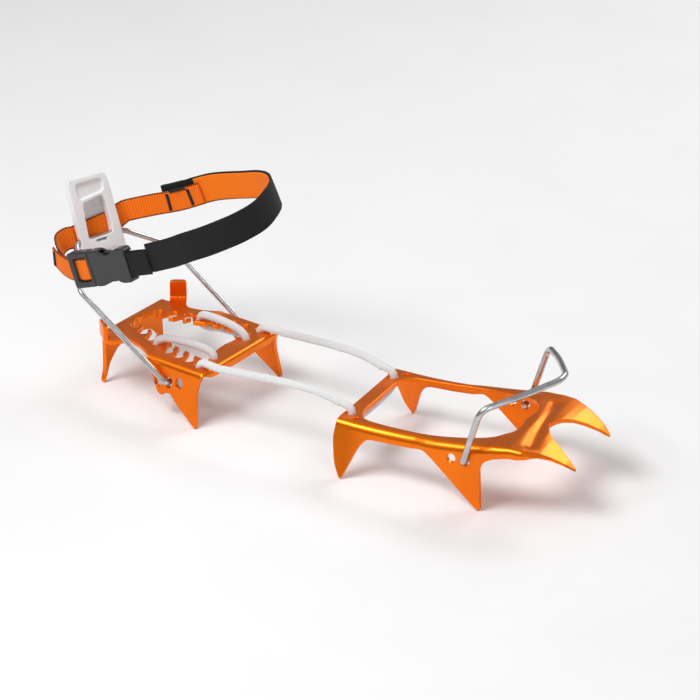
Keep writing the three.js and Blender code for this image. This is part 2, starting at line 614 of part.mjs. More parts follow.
front.add(toMesh("toe_bail", "wire", toeBail()));
crampon.add(toMesh("heel_bail", "wire", heelBail()));
crampon.add(toMesh("heel_lever", "lever", leverSolid()));

const band = smoothPath(BAND);
const foldOver = smoothPath(BAND.slice(0, 3));
const halfWeb = WEB_THICK / 2;
const lining = [GAP, GAP + LINING_THICK];
const folded = [-2 * BAND_THICK - GAP, -BAND_THICK - GAP];
crampon.add(toMesh("strap_webbing", "orange", webbingSolid()));
crampon.add(toMesh("strap_lead", "orange",
  strap(smoothPath(LEAD), 30, WEB_WIDTH, -halfWeb, halfWeb, leanThenUp)));
crampon.add(toMesh("strap_tail", "orange",
  strap(smoothPath(TAIL), 22, WEB_WIDTH, -halfWeb, halfWeb, () => buckleUp)));
crampon.add(toMesh("strap_band_outer", "black", strap(band, 64, BAND_WIDTH, -BAND_THICK, 0, alongRing)));
crampon.add(toMesh("strap_band_lining", "orange", strap(band, 64, BAND_WIDTH, ...lining, alongRing)));
crampon.add(toMesh("strap_band_end", "black", strap(foldOver, 6, BAND_WIDTH, ...folded, alongRing)));
crampon.add(toMesh("socket_loop", "black", socketLoop()));
crampon.add(toMesh("buckle_socket", "buckle", buckleSocket()));
crampon.add(toMesh("buckle_plug", "buckle", bucklePlug()));
crampon.add(toMesh("buckle_prong_upper", "buckle", prong(1)));
crampon.add(toMesh("buckle_prong_lower", "buckle", prong(-1)));

const web = smoothPath(FAR_WEB);
const onWeb = halfWeb + 0.4;
crampon.add(toMesh("bartack_rear", "black", bartack(web, 0.62, 0, 1.6, 10, onWeb, ringUp)));
crampon.add(toMesh("bartack_front", "black", bartack(web, 0.87, 0, 1.6, 10, onWeb, ringUp)));
crampon.add(toMesh("bartack_top", "black", bartack(web, 0.745, 6.2, 11, 1.4, onWeb + 0.3, ringUp)));
crampon.add(toMesh("bartack_tail", "black",
  bartack(smoothPath(TAIL), 0.93, 0, 1.6, 10, -onWeb, buckleUp)));

// Stand the whole on the ground plane, centred above the origin.
const bounds = new THREE.Box3().setFromObject(crampon, true);
const middle = bounds.getCenter(new THREE.Vector3());
crampon.position.set(-middle.x, -middle.y, -bounds.min.z);

export default crampon;
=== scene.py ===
"""Looks of the crampon: formed metal frames, bent wires, braided cord, moulded lever and
buckle, woven straps and stitching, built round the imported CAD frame. Lengths are in
millimetres in the heel's own frame until row() puts them in the row frame, in metres."""

import json
import math

import bmesh
import bpy
import numpy as np
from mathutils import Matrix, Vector
from mathutils.geometry import delaunay_2d_cdt


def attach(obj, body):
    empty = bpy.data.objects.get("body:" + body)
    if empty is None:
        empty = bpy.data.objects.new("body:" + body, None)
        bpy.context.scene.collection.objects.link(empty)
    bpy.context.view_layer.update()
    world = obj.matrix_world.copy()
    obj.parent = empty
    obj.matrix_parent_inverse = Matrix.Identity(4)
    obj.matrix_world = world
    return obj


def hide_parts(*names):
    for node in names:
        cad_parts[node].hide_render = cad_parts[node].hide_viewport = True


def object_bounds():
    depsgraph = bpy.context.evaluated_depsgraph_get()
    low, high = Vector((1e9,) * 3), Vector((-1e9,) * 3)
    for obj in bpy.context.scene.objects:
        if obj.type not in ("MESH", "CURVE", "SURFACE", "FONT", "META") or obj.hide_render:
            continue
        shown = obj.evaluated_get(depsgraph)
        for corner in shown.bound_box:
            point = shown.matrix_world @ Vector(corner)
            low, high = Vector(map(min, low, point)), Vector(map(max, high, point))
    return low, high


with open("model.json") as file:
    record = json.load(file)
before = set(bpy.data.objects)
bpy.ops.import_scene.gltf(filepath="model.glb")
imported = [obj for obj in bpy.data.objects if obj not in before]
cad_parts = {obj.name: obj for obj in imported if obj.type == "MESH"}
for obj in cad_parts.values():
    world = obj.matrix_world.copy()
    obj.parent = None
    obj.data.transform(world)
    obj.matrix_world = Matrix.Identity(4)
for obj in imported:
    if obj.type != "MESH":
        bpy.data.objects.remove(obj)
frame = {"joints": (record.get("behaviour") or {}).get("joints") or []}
cad_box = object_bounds()
joints = {joint["name"]: joint for joint in frame["joints"]}
HOLE_X, HOLE_Z = 63.1, 23.4
ORIGIN = np.array(joints["heel_bail_swing"]["pos_m"]) - np.array([HOLE_X, 0, HOLE_Z]) / 1000
SHEET = 3.0
HEEL_TOP = 35.7
FRONT_TOP = 33.4
FRONT_ROCKER = 0.00105
FRONT_YAW = math.radians(7.5)
FRONT_AT = np.array([185.7, 6.8, 0.0])
CORD_R = 2.4
WEB_W, WEB_T = 14.0, 1.3
BAND_W = 18.0
GAP = 0.3


def row(points):
    """Millimetres in the heel frame to metres in the row frame."""
    return np.asarray(points, float) / 1000 + ORIGIN


def from_front(points):
    """The front section's own frame to the heel frame."""
    p = np.asarray(points, float)
    c, s = math.cos(FRONT_YAW), math.sin(FRONT_YAW)
    x, y = p[..., 0], p[..., 1]
    return np.stack([x * c - y * s, x * s + y * c, p[..., 2]], -1) + FRONT_AT


def unit(v):
    v = np.asarray(v, float)
    return v / np.maximum(np.linalg.norm(v, axis=-1, keepdims=True), 1e-12)


def placed(name, data):
    """A new object in the scene."""
    made = bpy.data.objects.new(name, data)
    bpy.context.scene.collection.objects.link(made)
    return made


def grey(value):
    return (value, value, value)


# ---- camera ----
VIEW_FROM = math.radians(36.45)
VIEW_UP = math.radians(27.18)
TARGET = (123.4, 63.2, 21.2)
DISTANCE = 1.8547
back = Vector((math.sin(VIEW_FROM) * math.cos(VIEW_UP),
               -math.cos(VIEW_FROM) * math.cos(VIEW_UP), math.sin(VIEW_UP)))
camera = placed("camera", bpy.data.cameras.new("camera"))
camera.data.lens = 154.3
camera.data.sensor_width = 36
camera.data.clip_end = 20
camera.location = Vector(row(TARGET)) + back * DISTANCE
camera.rotation_mode = "QUATERNION"
camera.rotation_quaternion = (-back).to_track_quat("-Z", "Y")
bpy.context.scene.camera = camera


# ---- materials ----
class Finish:
    """A Principled material and short ways to add nodes to it."""

    def __init__(self, name, **sockets):
        self.material = bpy.data.materials.new(name)
        self.material.use_nodes = True
        self.tree = self.material.node_tree
        self.shader = self.tree.nodes["Principled BSDF"]
        for key, value in sockets.items():
            self.shader.inputs[key.replace("_", " ")].default_value = value

    def node(self, kind, links=None, **settings):
        made = self.tree.nodes.new("ShaderNode" + kind)
        for key, value in settings.items():
            setattr(made, key, value)
        for key, source in (links or {}).items():
            self.tree.links.new(source, made.inputs[key])
        return made

    def noise(self, coordinates, scale, detail, rough=0.5):
        made = self.node("TexNoise", {"Vector": coordinates})
        made.inputs["Scale"].default_value = scale
        made.inputs["Detail"].default_value = detail
        made.inputs["Roughness"].default_value = rough
        return made.outputs["Fac"]

    def stretch(self, coordinates, scale):
        made = self.node("Mapping", {"Vector": coordinates})
        made.inputs["Scale"].default_value = scale
        return made.outputs["Vector"]

    def ramp(self, factor, stops):
        made = self.node("ValToRGB", {"Fac": factor})
        ramp = made.color_ramp
        while len(ramp.elements) < len(stops):
            ramp.elements.new(0.5)
        for element, (at, colour) in zip(ramp.elements, stops):
            element.position = at
            element.color = (*colour, 1)
        return made.outputs["Color"]

    def span(self, value, low, high, to_low, to_high):
        made = self.node("MapRange", {"Value": value})
        for key, number in zip(("From Min", "From Max", "To Min", "To Max"),
                               (low, high, to_low, to_high)):
            made.inputs[key].default_value = number
        return made.outputs["Result"]

    def maths(self, operation, a, b=None):
        made = self.node("Math", operation=operation)
        for slot, value in enumerate((a, b)):
            if value is None:
                continue
            if isinstance(value, (int, float)):
                made.inputs[slot].default_value = value
            else:
                self.tree.links.new(value, made.inputs[slot])
        return made.outputs["Value"]

    def mix(self, factor, a, b):
        made = self.node("Mix", data_type="RGBA")
        self.tree.links.new(factor, made.inputs["Factor"])
        for key, value in (("A", a), ("B", b)):
            socket = next(s for s in made.inputs if s.name == key and s.type == "RGBA")
            if isinstance(value, tuple):
                socket.default_value = (*value, 1)
            else:
                self.tree.links.new(value, socket)
        return next(s for s in made.outputs if s.type == "RGBA")

    def bump(self, height, distance, strength):
        made = self.node("Bump", {"Height": height})
        made.inputs["Distance"].default_value = distance
        made.inputs["Strength"].default_value = strength
        self.feed("Normal", made.outputs["Normal"])

    def feed(self, key, source):
        self.tree.links.new(source, self.shader.inputs[key])

    def object_space(self):
        return self.node("TexCoord").outputs["Object"]

    def along(self):
        """Millimetres along and across a strap, from its UV map."""
        split = self.node("SeparateXYZ", {"Vector": self.node("TexCoord").outputs["UV"]})
        return split.outputs["X"], split.outputs["Y"]


def anodised():
    f = Finish("orange_alloy", Metallic=0.85, Roughness=0.3, Coat_Weight=0.12, Coat_Roughness=0.25)
    space = f.object_space()
    broad = f.noise(space, 38, 2)
    fine = f.noise(space, 1500, 4, 0.65)
    grain = f.noise(f.stretch(space, (300, 2600, 2600)), 1.0, 2)
    f.feed("Base Color", f.ramp(f.maths("ADD", f.maths("MULTIPLY", broad, 0.6),
                                        f.maths("MULTIPLY", fine, 0.4)),
                                [(0.3, (0.92, 0.165, 0.001)), (0.5, (0.96, 0.19, 0.001)),
                                 (0.7, (0.99, 0.22, 0.002))]))
    f.feed("Roughness", f.span(f.maths("ADD", fine, f.maths("MULTIPLY", grain, 0.5)),
                               0.3, 1.1, 0.24, 0.36))
    f.bump(f.maths("ADD", fine, f.maths("MULTIPLY", grain, 0.6)), 0.00003, 0.5)
    return f.material


def drawn_steel():
    f = Finish("steel_wire", Metallic=1.0, Roughness=0.25)
    run, around = f.along()
    both = f.node("CombineXYZ", {"X": f.maths("MULTIPLY", run, 0.04),
                                 "Y": f.maths("MULTIPLY", around, 5.0)}).outputs["Vector"]
    streak = f.noise(both, 3.0, 3)
    mottle = f.noise(f.object_space(), 260, 3)
    f.feed("Base Color", f.ramp(f.maths("MULTIPLY", f.maths("ADD", streak, mottle), 0.5),
                                [(0.3, (0.42, 0.43, 0.44)), (0.7, (0.66, 0.67, 0.68))]))
    f.feed("Roughness", f.span(streak, 0.3, 0.7, 0.2, 0.36))
    f.bump(streak, 0.00003, 0.4)
    return f.material


def braided():
    f = Finish("white_cord", Roughness=0.82, Sheen_Weight=0.1, Sheen_Roughness=0.5)
    run, around = f.along()
    strands = f.maths("MULTIPLY", f.maths("SINE", f.maths("MULTIPLY", run, 9.0)),
                      f.maths("SINE", f.maths("MULTIPLY", around, 14.0)))
    fuzz = f.noise(f.object_space(), 2400, 3)
    # the strand term paints shade between the strands and highlight on them, following the bump;
    # the fuzz term is random tone of the yarn
    f.feed("Base Color", f.ramp(f.maths("ADD", f.maths("MULTIPLY", strands, 0.12), fuzz),
                                [(0.3, grey(0.62)), (0.6, grey(0.8))]))
    f.bump(f.maths("ADD", f.maths("MULTIPLY", strands, 0.5), fuzz), 0.00008, 0.5)
    return f.material


def moulded(name, low, high, rough, grain=2200, coat=0.0):
    f = Finish(name, Roughness=rough, Coat_Weight=coat, Coat_Roughness=0.2)
    space = f.object_space()
    fine = f.noise(space, grain, 2, 0.6)
    broad = f.noise(space, 55, 2)
    f.feed("Base Color", f.ramp(broad, [(0.3, low), (0.7, high)]))
    f.feed("Roughness", f.span(fine, 0.3, 0.7, rough - 0.06, rough + 0.08))
    f.bump(fine, 0.00004, 0.45)
    return f.material


YARN_PITCH = 0.7
EDGE_DASH = 1.7
EDGE_WIDTH = 0.95


def woven(name, ground, crest_highlight, edge=None, pitch=1.15, rough=0.8, depth=0.00012):
    """Ribs across the strap, warp yarns along it and, with edge, a dashed dark selvedge."""
    f = Finish(name, Roughness=rough, Specular_IOR_Level=0.3, Sheen_Weight=0.03,
               Sheen_Roughness=0.45)
    run, across = f.along()
    ribs = f.maths("SINE", f.maths("MULTIPLY", run, 2 * math.pi / pitch))
    yarns = f.maths("SINE", f.maths("MULTIPLY", across, 2 * math.pi / YARN_PITCH))
    cell = f.maths("MULTIPLY", ribs, yarns)
    fuzz = f.noise(f.object_space(), 2600, 3)
    height = f.maths("ADD", f.maths("MULTIPLY", ribs, 0.5),
                     f.maths("ADD", f.maths("MULTIPLY", cell, 0.08), fuzz))
    # the colour follows the weave's height: painted shade in the grooves between ribs and yarns,
    # painted highlight on the rib crests, on top of random fuzz tone
    shade = f.span(height, -0.2, 1.3, 0.0, 1.0)
    colour = f.ramp(shade, [(0.15, ground), (0.85, crest_highlight)])
    if edge:
        wave = f.maths("SINE", f.maths("MULTIPLY", run, 2 * math.pi / EDGE_DASH))
        dash = f.maths("GREATER_THAN", wave, -0.5)
        rim = f.maths("GREATER_THAN", f.maths("ABSOLUTE", across), WEB_W / 2 - EDGE_WIDTH)
        colour = f.mix(f.maths("MULTIPLY", dash, rim), colour, edge)
    f.feed("Base Color", colour)
    f.bump(height, depth, 0.7)
    return f.material


def thread():
    f = Finish("black_thread", Roughness=0.7, Sheen_Weight=0.02)
    run, _ = f.along()
    twist = f.maths("SINE", f.maths("MULTIPLY", run, 9.0))
    fuzz = f.noise(f.object_space(), 3000, 2)
    f.feed("Base Color", f.ramp(fuzz, [(0.3, grey(0.004)), (0.7, grey(0.012))]))
    f.bump(f.maths("ADD", twist, fuzz), 0.00005, 0.5)
    return f.material


ALLOY = anodised()
STEEL = drawn_steel()
CORD = braided()
WHITE = moulded("white_plastic", (0.78, 0.79, 0.8), (0.84, 0.85, 0.86), 0.38)
BLACK = moulded("black_plastic", (0.014, 0.014, 0.015), (0.022, 0.022, 0.024), 0.3, 1800, 0.1)
ORANGE_WEB = woven("orange_webbing", (0.8, 0.13, 0.001), (0.99, 0.21, 0.002), edge=grey(0.006),
                   pitch=1.7, depth=0.0002)
BLACK_WEB = woven("black_webbing", grey(0.004), (0.012, 0.012, 0.013))
ELASTIC = woven("black_elastic", grey(0.005), (0.009, 0.009, 0.01), pitch=0.62, rough=0.72,
                depth=0.00004)
LINING = woven("orange_lining", (0.86, 0.16, 0.001), (0.98, 0.23, 0.002), pitch=0.8,
               depth=0.00006)
THREAD = thread()


# ---- pieces ----
def piece(name, points, faces, body, stands_for, materials, uv=None, normals=None,
          face_material=None):
    """One visible piece: points in millimetres, faces as tuples of indices."""
    mesh = bpy.data.meshes.new(name)
    mesh.from_pydata(row(points).tolist(), [], [tuple(int(i) for i in face) for face in faces])
    for material in materials:
        mesh.materials.append(material)
    mesh.polygons.foreach_set("use_smooth", [True] * len(mesh.polygons))
    if face_material is not None:
        mesh.polygons.foreach_set("material_index", [int(i) for i in face_material])
    if uv is not None:
        layer = mesh.uv_layers.new(name="run")
        layer.data.foreach_set("uv", np.asarray(uv, np.float32).ravel())
    mesh.validate()
    if normals is not None:
        mesh.normals_split_custom_set_from_vertices(unit(normals).tolist())
    made = placed(name, mesh)
    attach(made, body)
    if stands_for:
        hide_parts(*stands_for)


# ---- curves ----
def smooth_path(points, spacing):
    """Centripetal Catmull-Rom through the points, in even steps."""
    p = [np.asarray(q, float) for q in points]
    p = [2 * p[0] - p[1], *p, 2 * p[-1] - p[-2]]
    fine = []
    for a, b, c, d in zip(p, p[1:], p[2:], p[3:]):
        t0 = 0.0
        t1 = t0 + max(np.linalg.norm(b - a), 1e-9) ** 0.5
        t2 = t1 + max(np.linalg.norm(c - b), 1e-9) ** 0.5
        t3 = t2 + max(np.linalg.norm(d - c), 1e-9) ** 0.5
        for t in np.linspace(t1, t2, 24, endpoint=False):
            a1 = (t1 - t) / (t1 - t0) * a + (t - t0) / (t1 - t0) * b
            a2 = (t2 - t) / (t2 - t1) * b + (t - t1) / (t2 - t1) * c
            a3 = (t3 - t) / (t3 - t2) * c + (t - t2) / (t3 - t2) * d
            b1 = (t2 - t) / (t2 - t0) * a1 + (t - t0) / (t2 - t0) * a2
            b2 = (t3 - t) / (t3 - t1) * a2 + (t - t1) / (t3 - t1) * a3
            fine.append((t2 - t) / (t2 - t1) * b1 + (t - t1) / (t2 - t1) * b2)
    fine.append(p[-2])
    return resample(fine, spacing)


def run_along(path):
    """Length of the path up to each of its points."""
    return np.concatenate([[0], np.cumsum(np.linalg.norm(np.diff(path, axis=0), axis=1))])


def resample(points, spacing):
    p = np.asarray(points, float)
    s = run_along(p)
    count = max(2, int(math.ceil(s[-1] / spacing)))
    even = np.linspace(0, s[-1], count + 1)
    return np.stack([np.interp(even, s, p[:, k]) for k in range(p.shape[1])], 1)


def corner(a, b, c, radius, share, steps):
    """Points of the rounding at b; it takes at most a share of each side."""
    before, after = a - b, c - b
    reach = min(radius, np.linalg.norm(before) * share, np.linalg.norm(after) * share)
    enter, leave = b + unit(before) * reach, b + unit(after) * reach
    return [(1 - t) ** 2 * enter + 2 * t * (1 - t) * b + t * t * leave
            for t in np.linspace(0, 1, (steps if reach > 0.2 else 1) + 1)]


def filleted(points, radius, spacing):
    """Straight runs with rounded corners."""
    p = [np.asarray(q, float) for q in points]
    out = [p[0]]
    for a, b, c in zip(p, p[1:], p[2:]):
        out += corner(a, b, c, radius, 0.45, 12)
    out.append(p[-1])
    return resample(out, spacing)


def frames_along(path, hint):
    """Tangents and two side directions that don't twist."""
    tangent = unit(np.gradient(path, axis=0))
    side = np.zeros_like(path)
    start = np.asarray(hint, float)
    side[0] = unit(start - tangent[0] * (start @ tangent[0]))
    for i in range(1, len(path)):
        carried = side[i - 1] - tangent[i] * (side[i - 1] @ tangent[i])
        side[i] = unit(carried)
    return tangent, side, np.cross(tangent, side)


def tube(path, radius, sides, hint=(0, 0, 1), relief=None, round_ends=True):
    """Points, faces and UVs of a round bar; relief(run, angle) scales its radius."""
    tangent, side, other = frames_along(path, hint)
    run = run_along(path)
    rings, lengths = [], []
    angles = np.linspace(0, 2 * math.pi, sides, endpoint=False)

    def ring(i, scale, shift):
        r = radius * scale * np.ones(sides)
        if relief is not None:
            r = r * relief(run[i], angles)
        centre = path[i] + tangent[i] * shift
        return centre + r[:, None] * (np.cos(angles)[:, None] * side[i]
                                      + np.sin(angles)[:, None] * other[i])

    caps = [(math.sin(a), math.cos(a)) for a in (0.35, 0.75, 1.15)] if round_ends else []
    for scale, depth in caps:
        rings.append(ring(0, scale, -radius * depth))
        lengths.append(run[0] - radius * depth)
    for i in range(len(path)):
        rings.append(ring(i, 1.0, 0.0))
        lengths.append(run[i])
    for scale, depth in reversed(caps):
        rings.append(ring(len(path) - 1, scale, radius * depth))
        lengths.append(run[-1] + radius * depth)
    points = np.concatenate(rings)
    faces, uv = [], []
    for i in range(len(rings) - 1):
        for j in range(sides):
            k = (j + 1) % sides
            faces.append((i * sides + j, i * sides + k, (i + 1) * sides + k, (i + 1) * sides + j))
            a, b = angles[j], angles[j] + 2 * math.pi / sides
            uv += [(lengths[i], a), (lengths[i], b), (lengths[i + 1], b), (lengths[i + 1], a)]
    last = (len(rings) - 1) * sides
    faces.append(tuple(reversed(range(sides))))
    faces.append(tuple(range(last, last + sides)))
    uv += [(lengths[0], a) for a in angles[::-1]] + [(lengths[-1], a) for a in angles]
    return points, faces, uv


def ribbon(path, width, outer, inner, upright, swell):
    """A flat strap on edge. upright is the way its width points, one for all or one a
    step; outer and inner are the depths of its faces. The long edges are rounded."""
    tangent = unit(np.gradient(path, axis=0))
    up = np.broadcast_to(np.asarray(upright, float), path.shape)
    across = unit(up - tangent * np.sum(up * tangent, 1)[:, None])
    inward = np.cross(tangent, across)
    run = run_along(path)
    half, thick = width / 2, abs(inner - outer)
    middle, r = (inner + outer) / 2, thick / 2
    columns = 9
    flat = np.linspace(-(half - r), half - r, columns)
    crown = swell * (1 - (flat / half) ** 2)
    profile = [(y, middle - r - c) for y, c in zip(flat, crown)]
    rims = (0.8, 1.57, 2.34)
    profile += [(half - r + r * math.sin(a), middle - r * math.cos(a)) for a in rims]
    profile += [(y, middle + r + c) for y, c in zip(flat[::-1], crown[::-1])]
    profile += [(-(half - r) - r * math.sin(a), middle + r * math.cos(a)) for a in rims]
    profile = np.array(profile)
    n = len(profile)
    rings = [path[i] + profile[:, :1] * across[i] + profile[:, 1:] * inward[i]
             for i in range(len(path))]
    points = np.concatenate(rings)
    faces, uv, which = [], [], []
    for i in range(len(path) - 1):
        for j in range(n):
            k = (j + 1) % n
            faces.append((i * n + j, (i + 1) * n + j, (i + 1) * n + k, i * n + k))
            uv += [(run[i], profile[j, 0]), (run[i + 1], profile[j, 0]),
                   (run[i + 1], profile[k, 0]), (run[i], profile[k, 0])]
            which.append(0 if j < columns + 1 else 1)
    last = (len(path) - 1) * n
    faces.append(tuple(range(n)))
    faces.append(tuple(reversed(range(last, last + n))))
    uv += [(run[0], y) for y in profile[:, 0]] + [(run[-1], y) for y in profile[::-1, 0]]
    which += [1, 1]
    return points, faces, uv, which


# ---- formed sheet ----
def rounded_loop(corners, radius=1.2, spacing=1.1):
    """Closed outline with rounded corners; a corner may carry its own radius."""
    n = len(corners)
    out = []
    for i in range(n):
        a, b, c = (np.array(corners[k % n][:2], float) for k in (i - 1, i, i + 1))
        out += corner(a, b, c, corners[i][2] if len(corners[i]) > 2 else radius, 0.46, 5)
    out.append(out[0])
    loop = []
    for a, b in zip(out, out[1:]):
        cuts = max(1, int(round(np.linalg.norm(b - a) / spacing)))
        loop += [a + (b - a) * k / cuts for k in range(cuts)]
    kept = [loop[0]]
    for q in loop[1:]:
        if np.linalg.norm(q - kept[-1]) > 0.12:
            kept.append(q)
    return np.array(kept)


def circle(x, y, radius, count=22, squeeze=1.0):
    return np.array([(x + radius * math.cos(a), y + squeeze * radius * math.sin(a))
                     for a in np.linspace(0, 2 * math.pi, count, endpoint=False)])


def inside(points, loop):
    """Which points lie inside a closed loop."""
    x, y = points[:, 0], points[:, 1]
    found = np.zeros(len(points), bool)
    for (x0, y0), (x1, y1) in zip(loop, np.roll(loop, -1, axis=0)):
        if y0 == y1:
            continue
        hit = (y0 > y) != (y1 > y)
        found ^= hit & (x < (x1 - x0) * (y - y0) / (y1 - y0) + x0)
    return found


def near_loop(points, loop, distance):
    """Which points lie closer than distance to a loop."""
    found = np.zeros(len(points), bool)
    for a, b in zip(loop, np.roll(loop, -1, axis=0)):
        d = b - a
        t = np.clip(((points - a) @ d) / max(d @ d, 1e-9), 0, 1)
        found |= np.linalg.norm(points - a - t[:, None] * d, axis=1) < distance
    return found


RIM_CLEAR = 0.75


def formed_sheet(outline, cuts, grid, fold, thickness, edge):
    """A flat pattern with holes, folded by fold(points) and given a thickness and rounded
    edges. Returns points, faces and normals."""
    loops = [outline, *cuts]
    keep = inside(grid, outline) & ~near_loop(grid, outline, RIM_CLEAR)
    for loop in cuts:
        keep &= ~inside(grid, loop) & ~near_loop(grid, loop, RIM_CLEAR)
    given, edges = [], []
    for loop in loops:
        start = len(given)
        given += [Vector(p) for p in loop]
        count = len(loop)
        edges += [(start + i, start + (i + 1) % count) for i in range(count)]
    given += [Vector(p) for p in grid[keep]]
    verts, _, tris, *_ = delaunay_2d_cdt(given, edges, [], 0, 0.02)
    flat = np.array([tuple(v) for v in verts])
    tris = np.array([tuple(t) for t in tris])
    middle = flat[tris].mean(1)
    solid = inside(middle, outline)
    for loop in cuts:
        solid &= ~inside(middle, loop)
    tris = tris[solid]
    a, b, c = (flat[tris[:, k]] for k in range(3))
    area = (b[:, 0] - a[:, 0]) * (c[:, 1] - a[:, 1]) - (b[:, 1] - a[:, 1]) * (c[:, 0] - a[:, 0])
    tris = tris[np.abs(area) > 1e-5]
    area = area[np.abs(area) > 1e-5]
    tris[area < 0] = tris[area < 0][:, ::-1]
    used = np.unique(tris)
    index = -np.ones(len(flat), int)
    index[used] = np.arange(len(used))
    flat, tris = flat[used], index[tris]
    # a dict, because it keeps the edges in order
    seen = dict.fromkeys((int(t[k]), int(t[(k + 1) % 3])) for t in tris for k in range(3))
    rim = [(i, j) for i, j in seen if (j, i) not in seen]
    outward = np.zeros_like(flat)
    for i, j in rim:
        d = flat[j] - flat[i]
        normal = unit(np.array([d[1], -d[0]]))
        outward[i] += normal
        outward[j] += normal
    outward = unit(outward) * (np.linalg.norm(outward, axis=1) > 1e-9)[:, None]
    rim_verts = sorted({i for e in rim for i in e})
    step = 0.02

    def lifted(p, depth):
        """Folded place and normal of flat points at a depth below the upper face."""
        at = fold(p)
        dx = fold(p + [step, 0]) - fold(p - [step, 0])
        dy = fold(p + [0, step]) - fold(p - [0, step])
        normal = unit(np.cross(dx, dy))
        return at - normal * np.asarray(depth).reshape(-1, 1), normal

    thick = thickness(flat)
    inset = flat - outward * edge
    top, up = lifted(inset, np.zeros(len(flat)))
    under, _ = lifted(inset, thick)
    order = {v: k for k, v in enumerate(rim_verts)}
    ring_at = flat[rim_verts]
    out_2d = outward[rim_verts]
    ring_thick = thick[rim_verts]
    here, ring_up = lifted(ring_at, 0 * ring_thick)
    ahead, _ = lifted(ring_at + out_2d * step, 0 * ring_thick)
    sideways = unit(ahead - here)
    rings = [(0.62, 0.08, 0.38), (0.29, 0.29, 0.79), (0.08, 0.62, 1.19), (0.0, 1.0, math.pi / 2)]
    points, normals, ring_start = [top, under], [up, -up], []
    total = 2 * len(flat)
    upper_side = [(ring, 1, 0 * ring_thick) for ring in rings]
    lower_side = [(ring, -1, ring_thick) for ring in reversed(rings)]
    for (shift, sink, angle), way, level in upper_side + lower_side:
        p, _ = lifted(ring_at - out_2d * edge * shift, level + way * edge * sink)
        points.append(p)
        normals.append(way * ring_up * math.cos(angle) + sideways * math.sin(angle))
        ring_start.append(total)
        total += len(p)
    faces = [tuple(t) for t in tris] + [tuple(t[::-1] + len(flat)) for t in tris]
    stack = [None, *ring_start, "under"]

    def at(level, v):
        if level is None:
            return v
        if level == "under":
            return v + len(flat)
        return level + order[v]

    for i, j in rim:
        for upper, below in zip(stack, stack[1:]):
            faces.append((at(upper, j), at(upper, i), at(below, i), at(below, j)))
    return np.concatenate(points), faces, np.concatenate(normals)


def both_halves(half):
    """An outline from the half of it on one side of y = 0."""
    return half + [(x, -y, *rest) for x, y, *rest in reversed(half) if abs(y) > 1e-6]


PITCH, FINE_PITCH = 1.7, 0.95


def pattern_grid(x0, x1, reach, bend_at):
    """Inner points of a flat pattern, denser in rows along the bends."""
    points = []
    for x in np.arange(x0, x1, PITCH):
        fold_y = bend_at(x)
        rows = [*np.arange(PITCH / 2, fold_y - 0.4, PITCH),
                *np.arange(fold_y, fold_y + 7.6, FINE_PITCH),
                *np.arange(fold_y + 8.6, reach, PITCH)]
        points += [(x, s * y) for y in rows for s in (-1, 1)]
    return np.array(points)


BEND_R = 4.5


def bend_down(distance, radius, limit):
    """Sideways and downward travel of a sheet's upper face, distance past a bend's start."""
    angle = np.clip(distance / radius, 0, limit)
    rest = np.maximum(distance - radius * limit, 0)
    across = np.where(distance < 0, distance, radius * np.sin(angle) + rest * np.cos(limit))
    down = np.where(distance < 0, 0, radius * (1 - np.cos(angle)) + rest * np.sin(limit))
    return across, down


def developed(z, top, bend_y, limit, radius=BEND_R):
    """Flat-pattern y of a height z on a flange."""
    drop = top - z
    arc = radius * (1 - math.cos(limit))
    if drop <= arc:
        return bend_y + radius * math.acos(1 - drop / radius)
    return bend_y + radius * limit + (drop - arc) / math.sin(limit)


# ---- heel frame ----
HEEL_BEND_Y = 34.0
HEEL_LIMIT = math.radians(81)
REAR_BEND_X = 4.5
FRONT_LIP_X = 86.2
LIP_R = 2.6
TAB_AT = np.array([13.8, 29.8])
TAB_OUT = unit([-0.59, 0.81])
TAB_SIDE = np.array([TAB_OUT[1], -TAB_OUT[0]])
TAB_BEND, TAB_BEND_R = 4.4, 1.6
FLANGE_FROM, FLANGE_EASE = 38, 7
HOOK_R, HOOK_MOUTH, HOOK_REACH = 3.3, 2.25, 9.8
HEEL_BAIL_HOLE_R, FRONT_BAIL_HOLE_R = 2.9, 2.75
EDGE_R = 0.45


def heel_fold(p):
    x, y = p[:, 0], p[:, 1]
    side, wide = np.sign(y), np.abs(y)
    out = np.stack([x, y, np.full(len(p), HEEL_TOP)], 1)

    def moved(where, axis, values):
        out[:, axis] = np.where(where, values, out[:, axis])

    flange = (x > FLANGE_FROM) & (wide > HEEL_BEND_Y)
    past = wide - HEEL_BEND_Y
    across, down = bend_down(past, BEND_R, HEEL_LIMIT)
    ease = np.clip((x - FLANGE_FROM) / FLANGE_EASE, 0, 1)
    moved(flange, 1, side * (HEEL_BEND_Y + across * ease + past * (1 - ease)))
    moved(flange, 2, HEEL_TOP - down * ease)
    rear = (x < REAR_BEND_X) & (wide < 30.6)
    across, down = bend_down(REAR_BEND_X - x, BEND_R, math.pi / 2)
    moved(rear, 0, REAR_BEND_X - across)
    moved(rear, 2, HEEL_TOP - down)
    lip = (x > FRONT_LIP_X) & (wide < 44)
    across, down = bend_down(x - FRONT_LIP_X, LIP_R, math.pi / 2)
    moved(lip, 0, FRONT_LIP_X + across)
    moved(lip, 2, out[:, 2] - down)
    local = np.stack([x, wide], 1) - TAB_AT
    reach, span = local @ TAB_OUT, local @ TAB_SIDE
    tab = (reach > TAB_BEND) & (np.abs(span) < 7) & (x < 22)
    across, rise = bend_down(reach - TAB_BEND, TAB_BEND_R, math.pi / 2)
    gone = TAB_BEND + across
    moved(tab, 0, TAB_AT[0] + TAB_OUT[0] * gone + TAB_SIDE[0] * span)
    moved(tab, 1, side * (TAB_AT[1] + TAB_OUT[1] * gone + TAB_SIDE[1] * span))
    moved(tab, 2, HEEL_TOP + rise)
    return out


